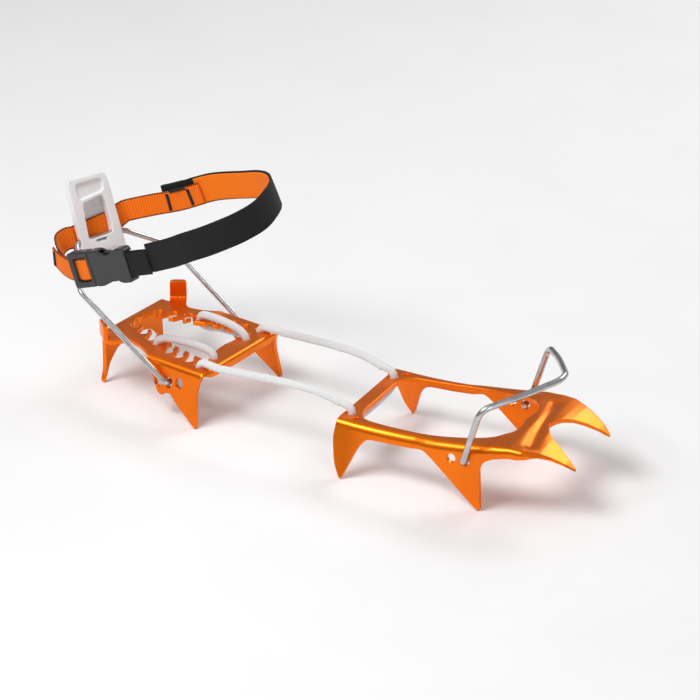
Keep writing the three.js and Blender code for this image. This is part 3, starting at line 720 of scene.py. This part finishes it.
def heel_frame():
    def wall(y, z, *r):
        return (REAR_BEND_X - (BEND_R * math.pi / 2 + HEEL_TOP - BEND_R - z), y, *r)

    def flange(x, z, *r):
        return (x, developed(z, HEEL_TOP, HEEL_BEND_Y, HEEL_LIMIT), *r)

    def tab(out, span, *r):
        return (*(TAB_AT + TAB_OUT * out + TAB_SIDE * span), *r)

    half = [
        wall(0, 21), wall(9, 20.6), wall(15.2, 19.6, 4), wall(20.5, 15, 3), wall(23.8, 11.4, 3),
        wall(28.4, 0.6, 0.8), wall(29.6, 0, 0.7), wall(29.9, 1.8, 1), wall(27.8, 9, 4),
        wall(27.2, 30, 1), (6.6, 27.3, 2), tab(0.6, -5.3, 1.2), tab(16.6, -5.3, 2.4),
        tab(16.6, 5.3, 2.4), tab(1.4, 5.3, 1.2), (19.4, 31.2, 1), (23.4, 27.9, 3), (32.3, 29.2, 4),
        (40.5, 33.6, 3), (43.6, 36.2, 2), flange(46, 31, 2), flange(49.4, 26, 4),
        flange(54.3, 15.6, 3), flange(58.2, 13.4, 2), flange(61.6, 16.2, 1.6),
        flange(65, 16.6, 1.6), flange(69.2, 12.2, 2), flange(84.6, 0.5, 0.8),
        flange(85.8, 0.2, 0.7), flange(86.2, 1.8, 1), flange(84.2, 21, 5), flange(85.6, 29.5, 5),
        (90.4, 35.0, 4), (93.4, 29.4, 3), (93.7, 24, 2), (93.8, 0),
    ]
    outline = rounded_loop(both_halves(half))
    opening = rounded_loop(both_halves([
        (9.5, 0), (11.2, 7.6, 2), (19.5, 8.4, 3), (43, 15.8, 6), (53.5, 18.4, 6), (63.5, 19.6, 4),
        (72.6, 21.2, 2), (79.4, 21.8, 1.2), (75.8, 15, 6), (73.7, 0)]), 2)
    cuts = [opening]
    along = unit([-2.6, -6.4])
    beside = np.array([-along[1], along[0]]) * HOOK_MOUTH
    for px, py in ((13.6, 11.3), (22.7, 14.8), (32.1, 18.7), (39.2, 21.6), (51.7, 25.6),
                   (60.3, 26.6), (68.9, 27.2)):
        centre = np.array([px, py])
        end = centre + along * HOOK_REACH
        slot = rounded_loop([centre + beside, end + beside, end - beside, centre - beside], 0.2)
        for s in (1, -1):
            cuts += [circle(px, s * py, HOOK_R), slot * [1, s]]
    for s in (1, -1):
        cuts += [circle(79.6, s * 29.6, 3.5), circle(79.6, s * 15.5, 3.5)]
        cuts.append(circle(*(TAB_AT + TAB_OUT * 4.6) * [1, s], 0.8, 10))
        for x in (55.2, HOLE_X, 71.1):
            z = HOLE_Z + (x - HOLE_X) * 0.175
            y = developed(z, HEEL_TOP, HEEL_BEND_Y, HEEL_LIMIT)
            cuts.append(circle(x, s * y, HEEL_BAIL_HOLE_R, 24, 1.15))
    grid = pattern_grid(-38, 94, 76, lambda x: HEEL_BEND_Y)
    bend_rows = (*np.arange(REAR_BEND_X, -4, -FINE_PITCH), *np.arange(FRONT_LIP_X, 91, 0.8))
    extra = np.array([(x, y) for x in bend_rows for y in np.arange(-26, 26.1, PITCH)])
    grid = grid[~((grid[:, 0] < 5.4) & (grid[:, 0] > -4.6)) | (np.abs(grid[:, 1]) > 30)]
    grid = grid[~((grid[:, 0] > 85.2) & (np.abs(grid[:, 1]) < 28))]
    grid = np.concatenate([grid, extra])
    points, faces, normals = formed_sheet(
        outline, cuts, grid, heel_fold, lambda p: np.full(len(p), SHEET), EDGE_R)
    piece("heel_frame_formed", points, faces, "heel", ["heel_frame"], [ALLOY],
          normals=normals)


# ---- front frame ----
# side face, bend radius and inward lean of the flanges at stations from rear to front
FRONT_STATIONS = [-12, 0, 14, 30, 44, 52, 60, 90, 99, 104, 112, 116, 121, 127.4, 134.6, 139.6]
FRONT_FACE_Y = [38.4, 38.6, 38.9, 39.2, 39.6, 40.8, 41.2, 41.2, 39.8, 39.0, 38.2, 36.0, 33.8,
                31.2, 27.9, 24.6]
FRONT_BEND = [4.5, 4.6, 5.2, 5.6, 5.6, 5.6, 5.6, 5.4, 4.6, 3.8, 3.2, 2.8, 2.4, 2.0, 1.5, 1.0]
FRONT_TILT = np.radians([17, 17, 12, 7, 3, 1, 0, 0, 0, 0, 0, 0, 0, 0, 0, 0])
# height of the toe on its middle line, and how far its sides sink below that
TOE_X = [97, 104, 111.5, 116, 121, 127.4, 134.6, 139.6]
TOE_TOP = [43.2, 44.4, 44.2, 43.9, 42.8, 40.2, 36.4, 33.0]
TOE_SINK = [0.4, 0.9, 1.0, 1.2, 0.8, 0.3, 0, 0]
VALLEY = np.array([[113.0, -27.0], [103.5, 25.0]])
VALLEY_DEPTH, VALLEY_WIDTH = 1.5, 3.4


def front_top(u):
    toe = np.interp(u, TOE_X, TOE_TOP)
    rail = FRONT_TOP + FRONT_ROCKER * u * u
    blend = np.clip((u - 90) / 9, 0, 1)
    return rail * (1 - blend) + toe * blend


def front_shape(u):
    face = np.interp(u, FRONT_STATIONS, FRONT_FACE_Y)
    radius = np.interp(u, FRONT_STATIONS, FRONT_BEND)
    tilt = np.interp(u, FRONT_STATIONS, FRONT_TILT)
    return face - radius * np.cos(tilt), radius, math.pi / 2 - tilt


def front_fold(p):
    u, wide, side = p[:, 0], np.abs(p[:, 1]), np.sign(p[:, 1])
    bend_y, radius, limit = front_shape(u)
    angle = np.clip((wide - bend_y) / radius, 0, limit)
    rest = np.maximum(wide - bend_y - radius * limit, 0)
    over = wide > bend_y
    y = np.where(over, bend_y + radius * np.sin(angle) + rest * np.cos(limit), wide)
    down = np.where(over, radius * (1 - np.cos(angle)) + rest * np.sin(limit), 0)
    slope = np.interp(u, [88, *TOE_X], [0, *TOE_SINK])
    share = np.clip(y / np.maximum(bend_y + radius, 1), 0, 1.1)
    z = front_top(u) - slope * share ** 1.4 - down
    start, line = VALLEY[0], VALLEY[1] - VALLEY[0]
    flat = np.stack([u, p[:, 1]], 1)
    t = np.clip(((flat - start) @ line) / (line @ line), 0, 1)
    off = np.linalg.norm(flat - start - t[:, None] * line, axis=1)
    z = z - VALLEY_DEPTH * np.exp(-(off / VALLEY_WIDTH) ** 2)
    return from_front(np.stack([u, side * y, z], 1))


def front_frame():
    def flange(u, z, *r):
        bend_y, radius, limit = front_shape(u)
        return (u, developed(z, front_top(u), bend_y, limit, radius), *r)

    def part_bend(u, share, *r):
        bend_y, radius, limit = front_shape(u)
        return (u, bend_y + radius * limit * share, *r)

    half = [
        (-7.4, 0), (-7.4, 24, 3), (-7.8, 30, 3), flange(-7.4, 31.0, 3), flange(-8.2, 22.7, 6),
        flange(-4.9, 8, 6), flange(-0.7, 1.0, 0.7), flange(0.3, 0.5, 0.6), flange(1.3, 1.4, 0.8),
        flange(8.6, 20.4, 6), flange(13.4, 26.2, 5), flange(22, 26.8, 6), flange(34, 27.4, 8),
        flange(50.6, 29.8, 4), flange(56, 26.4, 5), flange(86, 0.5, 0.8), flange(87.4, 0, 0.7),
        flange(88.6, 1.3, 0.9), flange(87.4, 27.5, 5), flange(90.2, 32.4, 4), flange(97, 36.2, 4),
        flange(104, 38.3, 5), flange(112, 38.7, 5), part_bend(119, 1.0, 5),
        part_bend(127.4, 0.8, 5), part_bend(134.6, 0.8, 3), part_bend(139.4, 0.7, 0.9),
        (140.2, 23.0, 0.8), (138.9, 22.0, 1), (134.6, 20.2, 5), (127.4, 16.7, 6), (121, 13.1, 5),
        (116, 8.6, 3), (112.4, 1.6, 1.5), (111.7, 0),
    ]
    outline = rounded_loop(both_halves(half))
    opening = rounded_loop(both_halves([
        (1.6, 0), (1.6, 18, 3), (3, 24.6, 2), (6.6, 29.4, 3), (14, 30.5, 4), (26, 31.4, 6),
        (36, 32, 6), (44, 32.4, 6), (53, 32.6, 6), (63, 31.8, 6), (75, 30, 6), (84, 28.2, 5),
        (91, 25.2, 5), (98.6, 16, 7), (98.6, 7, 4), (97, 0)]), 2)
    cuts = [opening]
    for s in (1, -1):
        cuts += [circle(-3.3, s * 26, 3.4), circle(2.6, s * 31.4, 1.7, 14)]
        for u, z in ((69.6, 29.6), (78.5, 29.9)):
            cuts.append(circle(u, s * flange(u, z)[1], FRONT_BAIL_HOLE_R, 24, 1.1))
    grid = pattern_grid(-9, 141, 80, lambda u: front_shape(u)[0])
    points, faces, normals = formed_sheet(
        outline, cuts, grid, front_fold,
        lambda p: np.interp(p[:, 0], [112, 124, 140], [SHEET, 2.4, 1.8]), EDGE_R)
    piece("front_frame_formed", points, faces, "front", ["front_frame"], [ALLOY],
          normals=normals)


heel_frame()
front_frame()

# ---- bail wires ----
LEVER_AT = np.array([-19.9, 0.0, 82.7])
LEAN, YAW = math.radians(22.9), math.radians(17)
LEVER_ACROSS = np.array([math.sin(YAW), math.cos(YAW), 0])
LEVER_UP = np.array([-math.sin(LEAN) * math.cos(YAW), math.sin(LEAN) * math.sin(YAW),
                     math.cos(LEAN)])
LEVER_OUT = np.cross(LEVER_ACROSS, LEVER_UP)
PIVOT_IN = -3.3
HEEL_WIRE_R, TOE_WIRE_R = 1.75, 1.9


def lever_point(up, across, out):
    return LEVER_AT + LEVER_UP * up + LEVER_ACROSS * across + LEVER_OUT * out


def wire(name, route, corner, radius, body, node):
    path = filleted(route, corner, 0.7)
    points, faces, uv = tube(path, radius, 20)
    piece(name, points, faces, body, [node], [STEEL], uv)


def other_side(points):
    return [(x, -y, z) for x, y, z in points]


heel_leg = [(HOLE_X, 35.4, HOLE_Z), (HOLE_X, 41.9, HOLE_Z), (-2.6, 42.4, 66.2)]
heel_route = other_side(heel_leg)
heel_route += [lever_point(0, -0.6 + s * 17.2, PIVOT_IN) for s in (-1, 1)]
heel_route += heel_leg[::-1]
wire("heel_bail_wire", heel_route, 2.8, HEEL_WIRE_R, "heel_bail", "heel_bail")
toe_leg = [(78.5, 36.4, 29.9), (78.5, 43.9, 29.9), (89.6, 44.9, 67.6), (104.5, 27, 71.4),
           (119.4, 4.2, 75.6)]
toe_route = [from_front(p) for p in other_side(toe_leg) + toe_leg[::-1]]
wire("toe_bail_wire", toe_route, 7, TOE_WIRE_R, "toe_bail", "toe_bail")

# ---- cord ----
CORD_LIFT = HEEL_TOP + CORD_R + GAP
CORD_UNDER = HEEL_TOP - SHEET - CORD_R - GAP
BELOW_BAR = FRONT_TOP - SHEET - CORD_R - GAP
HEEL_FOLD = (96.2, 38.6)
FRONT_FOLD = (-11.6, 38.0)
BRAID_LAY = 4.2
STRANDS = 4


def braid(run, angle):
    """Two sets of strands that wind round the cord and cross."""
    turn = 2 * math.pi * run / BRAID_LAY
    left = np.abs(np.sin(STRANDS * angle + turn))
    right = np.abs(np.sin(STRANDS * angle - turn))
    return 0.955 + 0.06 * np.maximum(left, right)


def cord_run(name, route, body, node):
    path = smooth_path(route, 0.42)
    points, faces, uv = tube(path, CORD_R, 32, (0, 0.2, 1), braid)
    piece(name, points, faces, body, [node], [CORD], uv)


def mirrored(half):
    return half + other_side(reversed(half))


cord_run("link_cord_heel_braid", mirrored([
    (HEEL_FOLD[0] - CORD_R - GAP, 30.4, HEEL_FOLD[1]), (86, 29.9, CORD_LIFT),
    (82, 29.6, CORD_LIFT - 0.4), (79.6, 29.5, CORD_LIFT - 3), (78.2, 29.3, CORD_UNDER + 1),
    (74, 28.8, CORD_UNDER - 0.2), (64, 27.8, CORD_UNDER - 0.4), (50, 25.6, CORD_UNDER - 0.2),
    (43.6, 23.4, CORD_UNDER - 0.6), (40.2, 22, CORD_UNDER + 1), (39, 21.4, HEEL_TOP - SHEET / 2),
    (40.2, 20.8, CORD_LIFT - 1.2), (43.6, 19.9, CORD_LIFT + 0.7), (56, 18.2, CORD_LIFT + 2.2),
    (70, 16.6, CORD_LIFT + 1.8), (75.4, 15.9, CORD_LIFT + 0.6), (78.6, 15.5, CORD_LIFT - 1.6),
    (79.6, 15.4, HEEL_TOP - 2), (79.6, 14.8, CORD_UNDER + 1.2), (79.6, 11.4, CORD_UNDER - 0.4)]),
    "heel", "link_cord_heel")
cord_run("link_cord_front_braid", [from_front(p) for p in mirrored([
    (FRONT_FOLD[0] + CORD_R + GAP, 26, FRONT_FOLD[1]), (-6.6, 26, FRONT_FOLD[1] - 0.7),
    (-4.2, 26, FRONT_TOP + 2.2), (-3.4, 26, FRONT_TOP), (-3.3, 25.7, BELOW_BAR + 2.2),
    (-3.3, 22, BELOW_BAR - 0.4)])], "front", "link_cord_front")
for side, label in ((-1, "near"), (1, "far")):
    start = np.array([HEEL_FOLD[0], side * 30.4, HEEL_FOLD[1]])
    end = from_front((FRONT_FOLD[0], side * 26, FRONT_FOLD[1]))
    middle = [start + (end - start) * t + np.array([0, 0, rise])
              for t, rise in ((0.25, 1.6), (0.5, 3), (0.8, 3.2), (0.93, 1.6))]
    cord_run(f"link_cord_{label}_braid", [start, *middle, end], "link", f"link_cord_{label}_run")


# ---- moulded pieces ----
def prism(outline, near, far, basis):
    """A closed prism: outline in x, y of basis, from near to far along its z."""
    n = len(outline)
    points = np.array([(x, y, z) for z in (near, far) for x, y in outline], float)
    faces = [tuple(reversed(range(n))), tuple(range(n, 2 * n))]
    faces += [(i, (i + 1) % n, n + (i + 1) % n, n + i) for i in range(n)]
    return points @ basis[0] + basis[1], faces


def soft_outline(corners, radius):
    return rounded_loop(corners, radius, 3.0)


def mesh_object(parts):
    mesh = bpy.data.meshes.new("work")
    points, faces = [], []
    for p, f in parts:
        start = sum(len(q) for q in points)
        faces += [tuple(i + start for i in face) for face in f]
        points.append(p)
    mesh.from_pydata(np.concatenate(points).tolist(), [], faces)
    bm = bmesh.new()
    bm.from_mesh(mesh)
    bmesh.ops.recalc_face_normals(bm, faces=bm.faces)
    bm.to_mesh(mesh)
    bm.free()
    return placed("work", mesh)


def moulded_piece(name, adds, cuts, voxel, smooth, body, stands_for, material):
    """Adds joined, cuts taken away, then one skin with softened edges."""
    work = mesh_object(adds)
    spares = [mesh_object([cutter]) for cutter in cuts]

    def skin_over():
        skin = work.modifiers.new("skin", "REMESH")
        skin.mode = "VOXEL"
        skin.voxel_size = voxel

    skin_over()
    for spare in spares:
        hole = work.modifiers.new("hole", "BOOLEAN")
        hole.operation = "DIFFERENCE"
        hole.solver = "EXACT"
        hole.object = spare
    skin_over()
    soft = work.modifiers.new("soft", "SMOOTH")
    soft.factor = 0.5
    soft.iterations = smooth
    graph = bpy.context.evaluated_depsgraph_get()
    result = bpy.data.meshes.new_from_object(work.evaluated_get(graph))
    points = np.zeros(len(result.vertices) * 3)
    result.vertices.foreach_get("co", points)
    faces = [tuple(f.vertices) for f in result.polygons]
    for spare in (work, *spares):
        bpy.data.objects.remove(spare)
    piece(name, points.reshape(-1, 3), faces, body, stands_for, [material])


LEVER_VOXEL, BUCKLE_VOXEL, PRONG_VOXEL = 0.4, 0.3, 0.26
LEVER_BASIS = (np.array([LEVER_ACROSS, LEVER_UP, LEVER_OUT]), LEVER_AT)


def in_lever(corners, radius, near, far):
    return prism(soft_outline(corners, radius), near, far, LEVER_BASIS)


def lever_shell():
    adds = [
        in_lever([(-14.8, 38.8), (11.6, 38.8), (13.2, 34), (13.6, 26), (13.9, 12), (14.4, 0),
                  (14.8, -22), (12.6, -25), (-13.8, -25), (-16, -22), (-15.8, 0), (-15.6, 18),
                  (-15.6, 34)], 3.2, -4.6, 0),
        in_lever([(-11.6, 37.4), (9.6, 37.4), (10.7, 26), (11, 0), (11.4, -24), (-12.6, -24),
                  (-12.2, 0), (-11.9, 26)], 3, -9.6, -4.4)]
    bore_path = np.array([lever_point(0, -24, PIVOT_IN), lever_point(0, 24, PIVOT_IN)])
    window = in_lever([(-7.8, 23), (6.4, 25.2), (7.9, 20), (8.2, 8), (7.6, 0.8), (-9.6, 0.2),
                       (-9.2, 9.6), (-8.6, 16)], 1.6, -6.9, 2)
    scoop = in_lever([(-9.6, 25.2), (8.4, 27.4), (9.0, 35.4), (-10.6, 35.4)], 2.4, -2.0, 2)
    notch = in_lever([(-5, -2.7), (3, -2.7), (3, -0.9), (-5, -0.9)], 0.6, -1.8, 2)
    strap_slot = prism([(-24, -5), (24, -5), (24, 19), (-24, 19)], -7.95, -5.85, LEVER_BASIS)
    bore = tube(bore_path, 2.1, 24, LEVER_UP, round_ends=False)[:2]
    rear_relief = in_lever([(-9.6, -23.6), (8.4, -23.6), (8.4, -9.5), (-9.6, -9.5)], 1.5,
                           -12, -5.1)
    front_relief = in_lever([(-10.6, -21.6), (9.4, -21.6), (9.4, -8), (-10.6, -8)], 2, -1.1, 2)
    cuts = [window, scoop, notch, strap_slot, bore, rear_relief, front_relief]
    moulded_piece("heel_lever_moulded", adds, cuts, LEVER_VOXEL, 9, "lever",
                  ["heel_lever"], WHITE)


lever_shell()

# the buckle's own frame: x along the strap, y up the buckle, z away from the leg
SLOPE = math.radians(20.5)
BUCKLE_AT = np.array([15, -44.8, 88.8])
SEAM = -2.6
ALONG = np.array([math.cos(SLOPE), 0, math.sin(SLOPE)])
BUCKLE_UP = np.array([-math.sin(SLOPE), 0, math.cos(SLOPE)])
BUCKLE_BASIS = (np.array([ALONG, BUCKLE_UP, np.cross(ALONG, BUCKLE_UP)]), BUCKLE_AT)


def in_buckle(corners, near, far, radius=0.8):
    return prism(soft_outline(corners, radius), near, far, BUCKLE_BASIS)


def block(x0, x1, y0, y1, near, far, radius=0.6):
    return in_buckle([(x0, y0), (x1, y0), (x1, y1), (x0, y1)], near, far, radius)


def strap_point(x, toward_leg):
    return BUCKLE_AT + ALONG * x + np.array([0, toward_leg, 0])


def buckle():
    socket = [in_buckle(both_halves([
        (SEAM + 0.3, 10.6, 1.6), (SEAM + 1.4, 11.3, 1.2), (5.0, 11.2, 2), (8.4, 9.4, 3),
        (11.6, 8.1, 4), (15.2, 8.2, 4), (18.6, 10, 3), (21, 10.8, 2), (27, 10.8, 1.6),
        (28.3, 9.4, 1.6)]), -3.6, 3.8)]
    cavity = [block(SEAM - 2, 19, -10.3, 10.3, -2.1, 2.1, 0.4),
              block(21, 24.0, -7.9, 7.9, -6, 3.0, 1),
              block(23.9, 32, -7.6, 7.6, 1.4, 3.0, 0.4),
              block(23.9, 30, -7.6, 7.6, -6, -1.6, 0.4)]
    moulded_piece("buckle_socket_moulded", socket, cavity, BUCKLE_VOXEL, 9, "lever",
                  ["buckle_socket"], BLACK)
    body = [in_buckle([(-20.4, -10.6), (-18.6, -11.3), (SEAM - 0.3, -11.3), (SEAM - 0.3, 11.3),
                       (-18.6, 11.3), (-20.4, 10.6)], -3.2, 3.4, 1.2),
            block(SEAM - 0.8, 1.2, -7.8, 7.8, -1.6, 1.6, 0.4),
            block(0.9, 7.4, -1.5, 1.5, -1.5, 1.5, 0.6)]
    gaps = [block(-16.3, -10.9, -7.3, 7.3, -6, 6, 1.2), block(-8.9, -5.4, -7.3, 7.3, -6, 6, 1.2),
            block(-12, -8, -7.5, 7.5, -6, -0.4, 0.6), block(-12, -8, -7.5, 7.5, 1.3, 6, 0.6),
            block(-23, -16.2, -7.5, 7.5, -6, 2.0, 0.6)]
    moulded_piece("buckle_plug_moulded", body, gaps, BUCKLE_VOXEL, 9, "plug",
                  ["buckle_plug"], BLACK)
    for s, label in ((1, "upper"), (-1, "lower")):
        arm = block(1.6, 16.2, *sorted((s * 3.9, s * 6.3)), -1.4, 1.4, 0.8)
        pad = in_buckle([(8, s * 5.7), (16, s * 5.7), (15.2, s * 9.3), (12, s * 9.9),
                         (8.8, s * 9.3)], -1.6, 1.6, 1.2)
        moulded_piece(f"buckle_prong_{label}_moulded", [arm, pad], [], PRONG_VOXEL, 7,
                      f"prong_{label}", [f"buckle_prong_{label}"], BLACK)


buckle()

# ---- straps ----
RING_LEAN = math.radians(27)
RING_UP = np.array([-math.sin(RING_LEAN), 0, math.cos(RING_LEAN)])


def web_in_lever(across):
    return lever_point(5.9 + 0.12 * across, across, -6.9)


def lean_then_up(count):
    t = np.minimum(1, np.linspace(0, 1, count) / 0.35)[:, None]
    return unit(LEVER_UP * (1 - t) + RING_UP * t)


def strap_piece(name, path, width, outer, inner, upright, body, node, faces_of, swell=0.0):
    points, faces, uv, which = ribbon(path, width, outer, inner, upright, swell)
    piece(name, points, faces, body, [node], faces_of, uv, None, which)


def web_piece(part, path, upright, body, faces_of):
    strap_piece(f"strap_{part}_woven", path, WEB_W, -WEB_T / 2, WEB_T / 2, upright, body,
                f"strap_{part}", faces_of)


web_curve = smooth_path([
    web_in_lever(13), web_in_lever(15), (-22.4, 23.2, 90.4), (-17.8, 26.2, 92.3),
    (-11.8, 29.8, 94.2), (-4.6, 33.4, 96.5), (1.8, 35.4, 98.6), (12.7, 38.3, 102.8),
    (26.7, 40, 109.8)], 0.8)
inside_lever = resample([web_in_lever(-14.6), web_in_lever(12.6)], 1.0)
web_path = np.concatenate([inside_lever, web_curve[1:]])
ups = np.concatenate([np.tile(LEVER_UP, (len(inside_lever), 1)), lean_then_up(len(web_curve))[1:]])
web_piece("webbing", web_path, ups, "lever", [BLACK_WEB, ORANGE_WEB])
lead = smooth_path([web_in_lever(-15), web_in_lever(-16.4), (-33.8, -18.4, 84), (-33, -25.2, 83.2),
                    (-26, -33.2, 81.8), (-16, -39.8, 80.4), strap_point(-23, 1.5),
                    strap_point(-17, 1.4), strap_point(-8, 1.4)], 0.7)
web_piece("lead", lead, lean_then_up(len(lead)), "plug", [ORANGE_WEB, BLACK_WEB])
tail_route = [strap_point(x, y) for x, y in ((-5.4, 0.5), (-6.6, -1.9), (-9.8, -2.8), (-13, -1.9),
                                             (-16, -0.7), (-21.5, -0.6))]
tail = smooth_path([*tail_route, (-15, -43.7, 81.6), (-24.6, -40.4, 83.2)], 0.5)
web_piece("tail", tail, BUCKLE_UP, "plug", [ORANGE_WEB, ORANGE_WEB])

BAND = [
    (-1.4, 37.8, 98.9), (4.6, 39.7, 101.2), (13, 41.5, 104.8), (22, 42.5, 109.4), (34.2, 43, 115),
    (47.4, 42.5, 119.7), (61.5, 40.5, 124.5), (77, 36.5, 130.5), (91, 28.5, 135.4),
    (102.5, 16.5, 138.4), (110, 2, 139.4), (112.6, -12, 137.2), (109.4, -26, 134.2),
    (102.4, -35.5, 130.4), (94.4, -41, 126.2), (84.6, -43.8, 121.3), (73.4, -44.6, 115),
    (64, -44.8, 110.4), (56.4, -44.8, 106.7)]
band = smooth_path(BAND, 1.1)
strap_piece("strap_band_elastic", band, BAND_W, -1.2, 0, RING_UP, "lever",
            "strap_band_outer", [ELASTIC, ELASTIC], 0.12)
strap_piece("strap_band_lining_woven", band[24:], BAND_W - 1.7, 0.3, 1.2, RING_UP, "lever",
            "strap_band_lining", [LINING, LINING])
strap_piece("strap_band_end_fold", smooth_path(BAND[:3], 0.8), BAND_W, -2.7, -1.5, RING_UP,
            "lever", "strap_band_end", [ELASTIC, ELASTIC])
loop_half = [(44.9, -2.2), (30, -2.25), (24.4, -2.2), (22.7, -1.5)]
loop_route = [strap_point(x, y) for x, y in both_halves([*loop_half, (22.2, 0)])]
strap_piece("socket_loop_woven", smooth_path(loop_route, 0.45), 14.8, -0.6, 0.6, BUCKLE_UP,
            "lever", "socket_loop", [BLACK_WEB, BLACK_WEB])


# ---- stitching ----
THREAD_R, STITCH_PITCH = 0.42, 0.55


def zigzag(which, curve, at, upward, length, tall, depth, up, body):
    """A bartack: one thread laid back and forth over a small oblong."""
    i = int(round(at * (len(curve) - 1)))
    run = unit(curve[min(i + 1, len(curve) - 1)] - curve[max(i - 1, 0)])
    across = unit(up - run * (run @ up))
    inward = np.cross(run, across)
    centre = curve[i] + across * upward + inward * depth
    turns = max(6, int(max(length, tall) / STITCH_PITCH))
    route = []
    for k in range(turns * 2 + 1):
        share = k / (turns * 2) - 0.5
        swing = 0.5 if k % 2 else -0.5
        a, b = (share, swing) if length > tall else (swing, share)
        route.append(centre + run * length * a + across * tall * b)
    path = filleted(route, 0.3, 0.16)
    points, faces, uv = tube(path, THREAD_R, 8, inward)
    piece(f"bartack_{which}_thread", points, faces, body, [f"bartack_{which}"],
          [THREAD], uv)


on_web = WEB_T / 2 + 0.34
zigzag("rear", web_curve, 0.62, 0, 1.9, 10, on_web, RING_UP, "lever")
zigzag("front", web_curve, 0.87, 0, 1.9, 10, on_web, RING_UP, "lever")
zigzag("top", web_curve, 0.745, 6.5, 11, 1.6, on_web + 0.1, RING_UP, "lever")
zigzag("tail", tail, 0.93, 0, 1.9, 10, -on_web, BUCKLE_UP, "plug")

# ---- floor and light ----
floor_mesh = bpy.data.meshes.new("floor")
floor_mesh.from_pydata([(-3, -3, 0), (3, -3, 0), (3, 6, 0), (-3, 6, 0)], [], [(0, 1, 2, 3)])
floor = placed("floor", floor_mesh)
floor.location.z = cad_box[0].z - 0.0002
ground = Finish("pale_floor", Roughness=0.9)
speck = ground.noise(ground.object_space(), 12, 2)
ground.feed("Base Color", ground.ramp(speck, [(0.3, grey(0.86)), (0.7, grey(0.88))]))
floor_mesh.materials.append(ground.material)


LIGHT_AIM = Vector((0, 0, 0.05))


def area_light(name, place, size, power):
    light = bpy.data.lights.new(name, "AREA")
    light.shape = "RECTANGLE"
    light.size, light.size_y = size
    light.energy = power
    made = placed(name, light)
    made.location = place
    made.rotation_mode = "QUATERNION"
    made.rotation_quaternion = (LIGHT_AIM - Vector(place)).to_track_quat("-Z", "Y")


area_light("key", (-0.35, -0.75, 1.25), (0.7, 0.5), 15)
area_light("rear", (0.2, 1.1, 0.9), (0.9, 0.35), 6)
area_light("fill", (1.3, -0.7, 0.5), (0.35, 0.7), 3.5)
bpy.context.scene.view_settings.view_transform = "Standard"
world = bpy.data.worlds.new("studio")
bpy.context.scene.world = world
world.use_nodes = True
sky = world.node_tree
height = sky.nodes.new("ShaderNodeSeparateXYZ")
sky.links.new(sky.nodes.new("ShaderNodeTexCoord").outputs["Generated"], height.inputs["Vector"])
shade = sky.nodes.new("ShaderNodeValToRGB")
horizon, zenith = shade.color_ramp.elements
horizon.position, horizon.color = 0.0, (0.25, 0.25, 0.25, 1)
zenith.position, zenith.color = 0.75, (0.8, 0.8, 0.81, 1)
sky.links.new(height.outputs["Z"], shade.inputs["Fac"])
sky.links.new(shade.outputs["Color"], sky.nodes["Background"].inputs["Color"])
sky.nodes["Background"].inputs["Strength"].default_value = 0.52
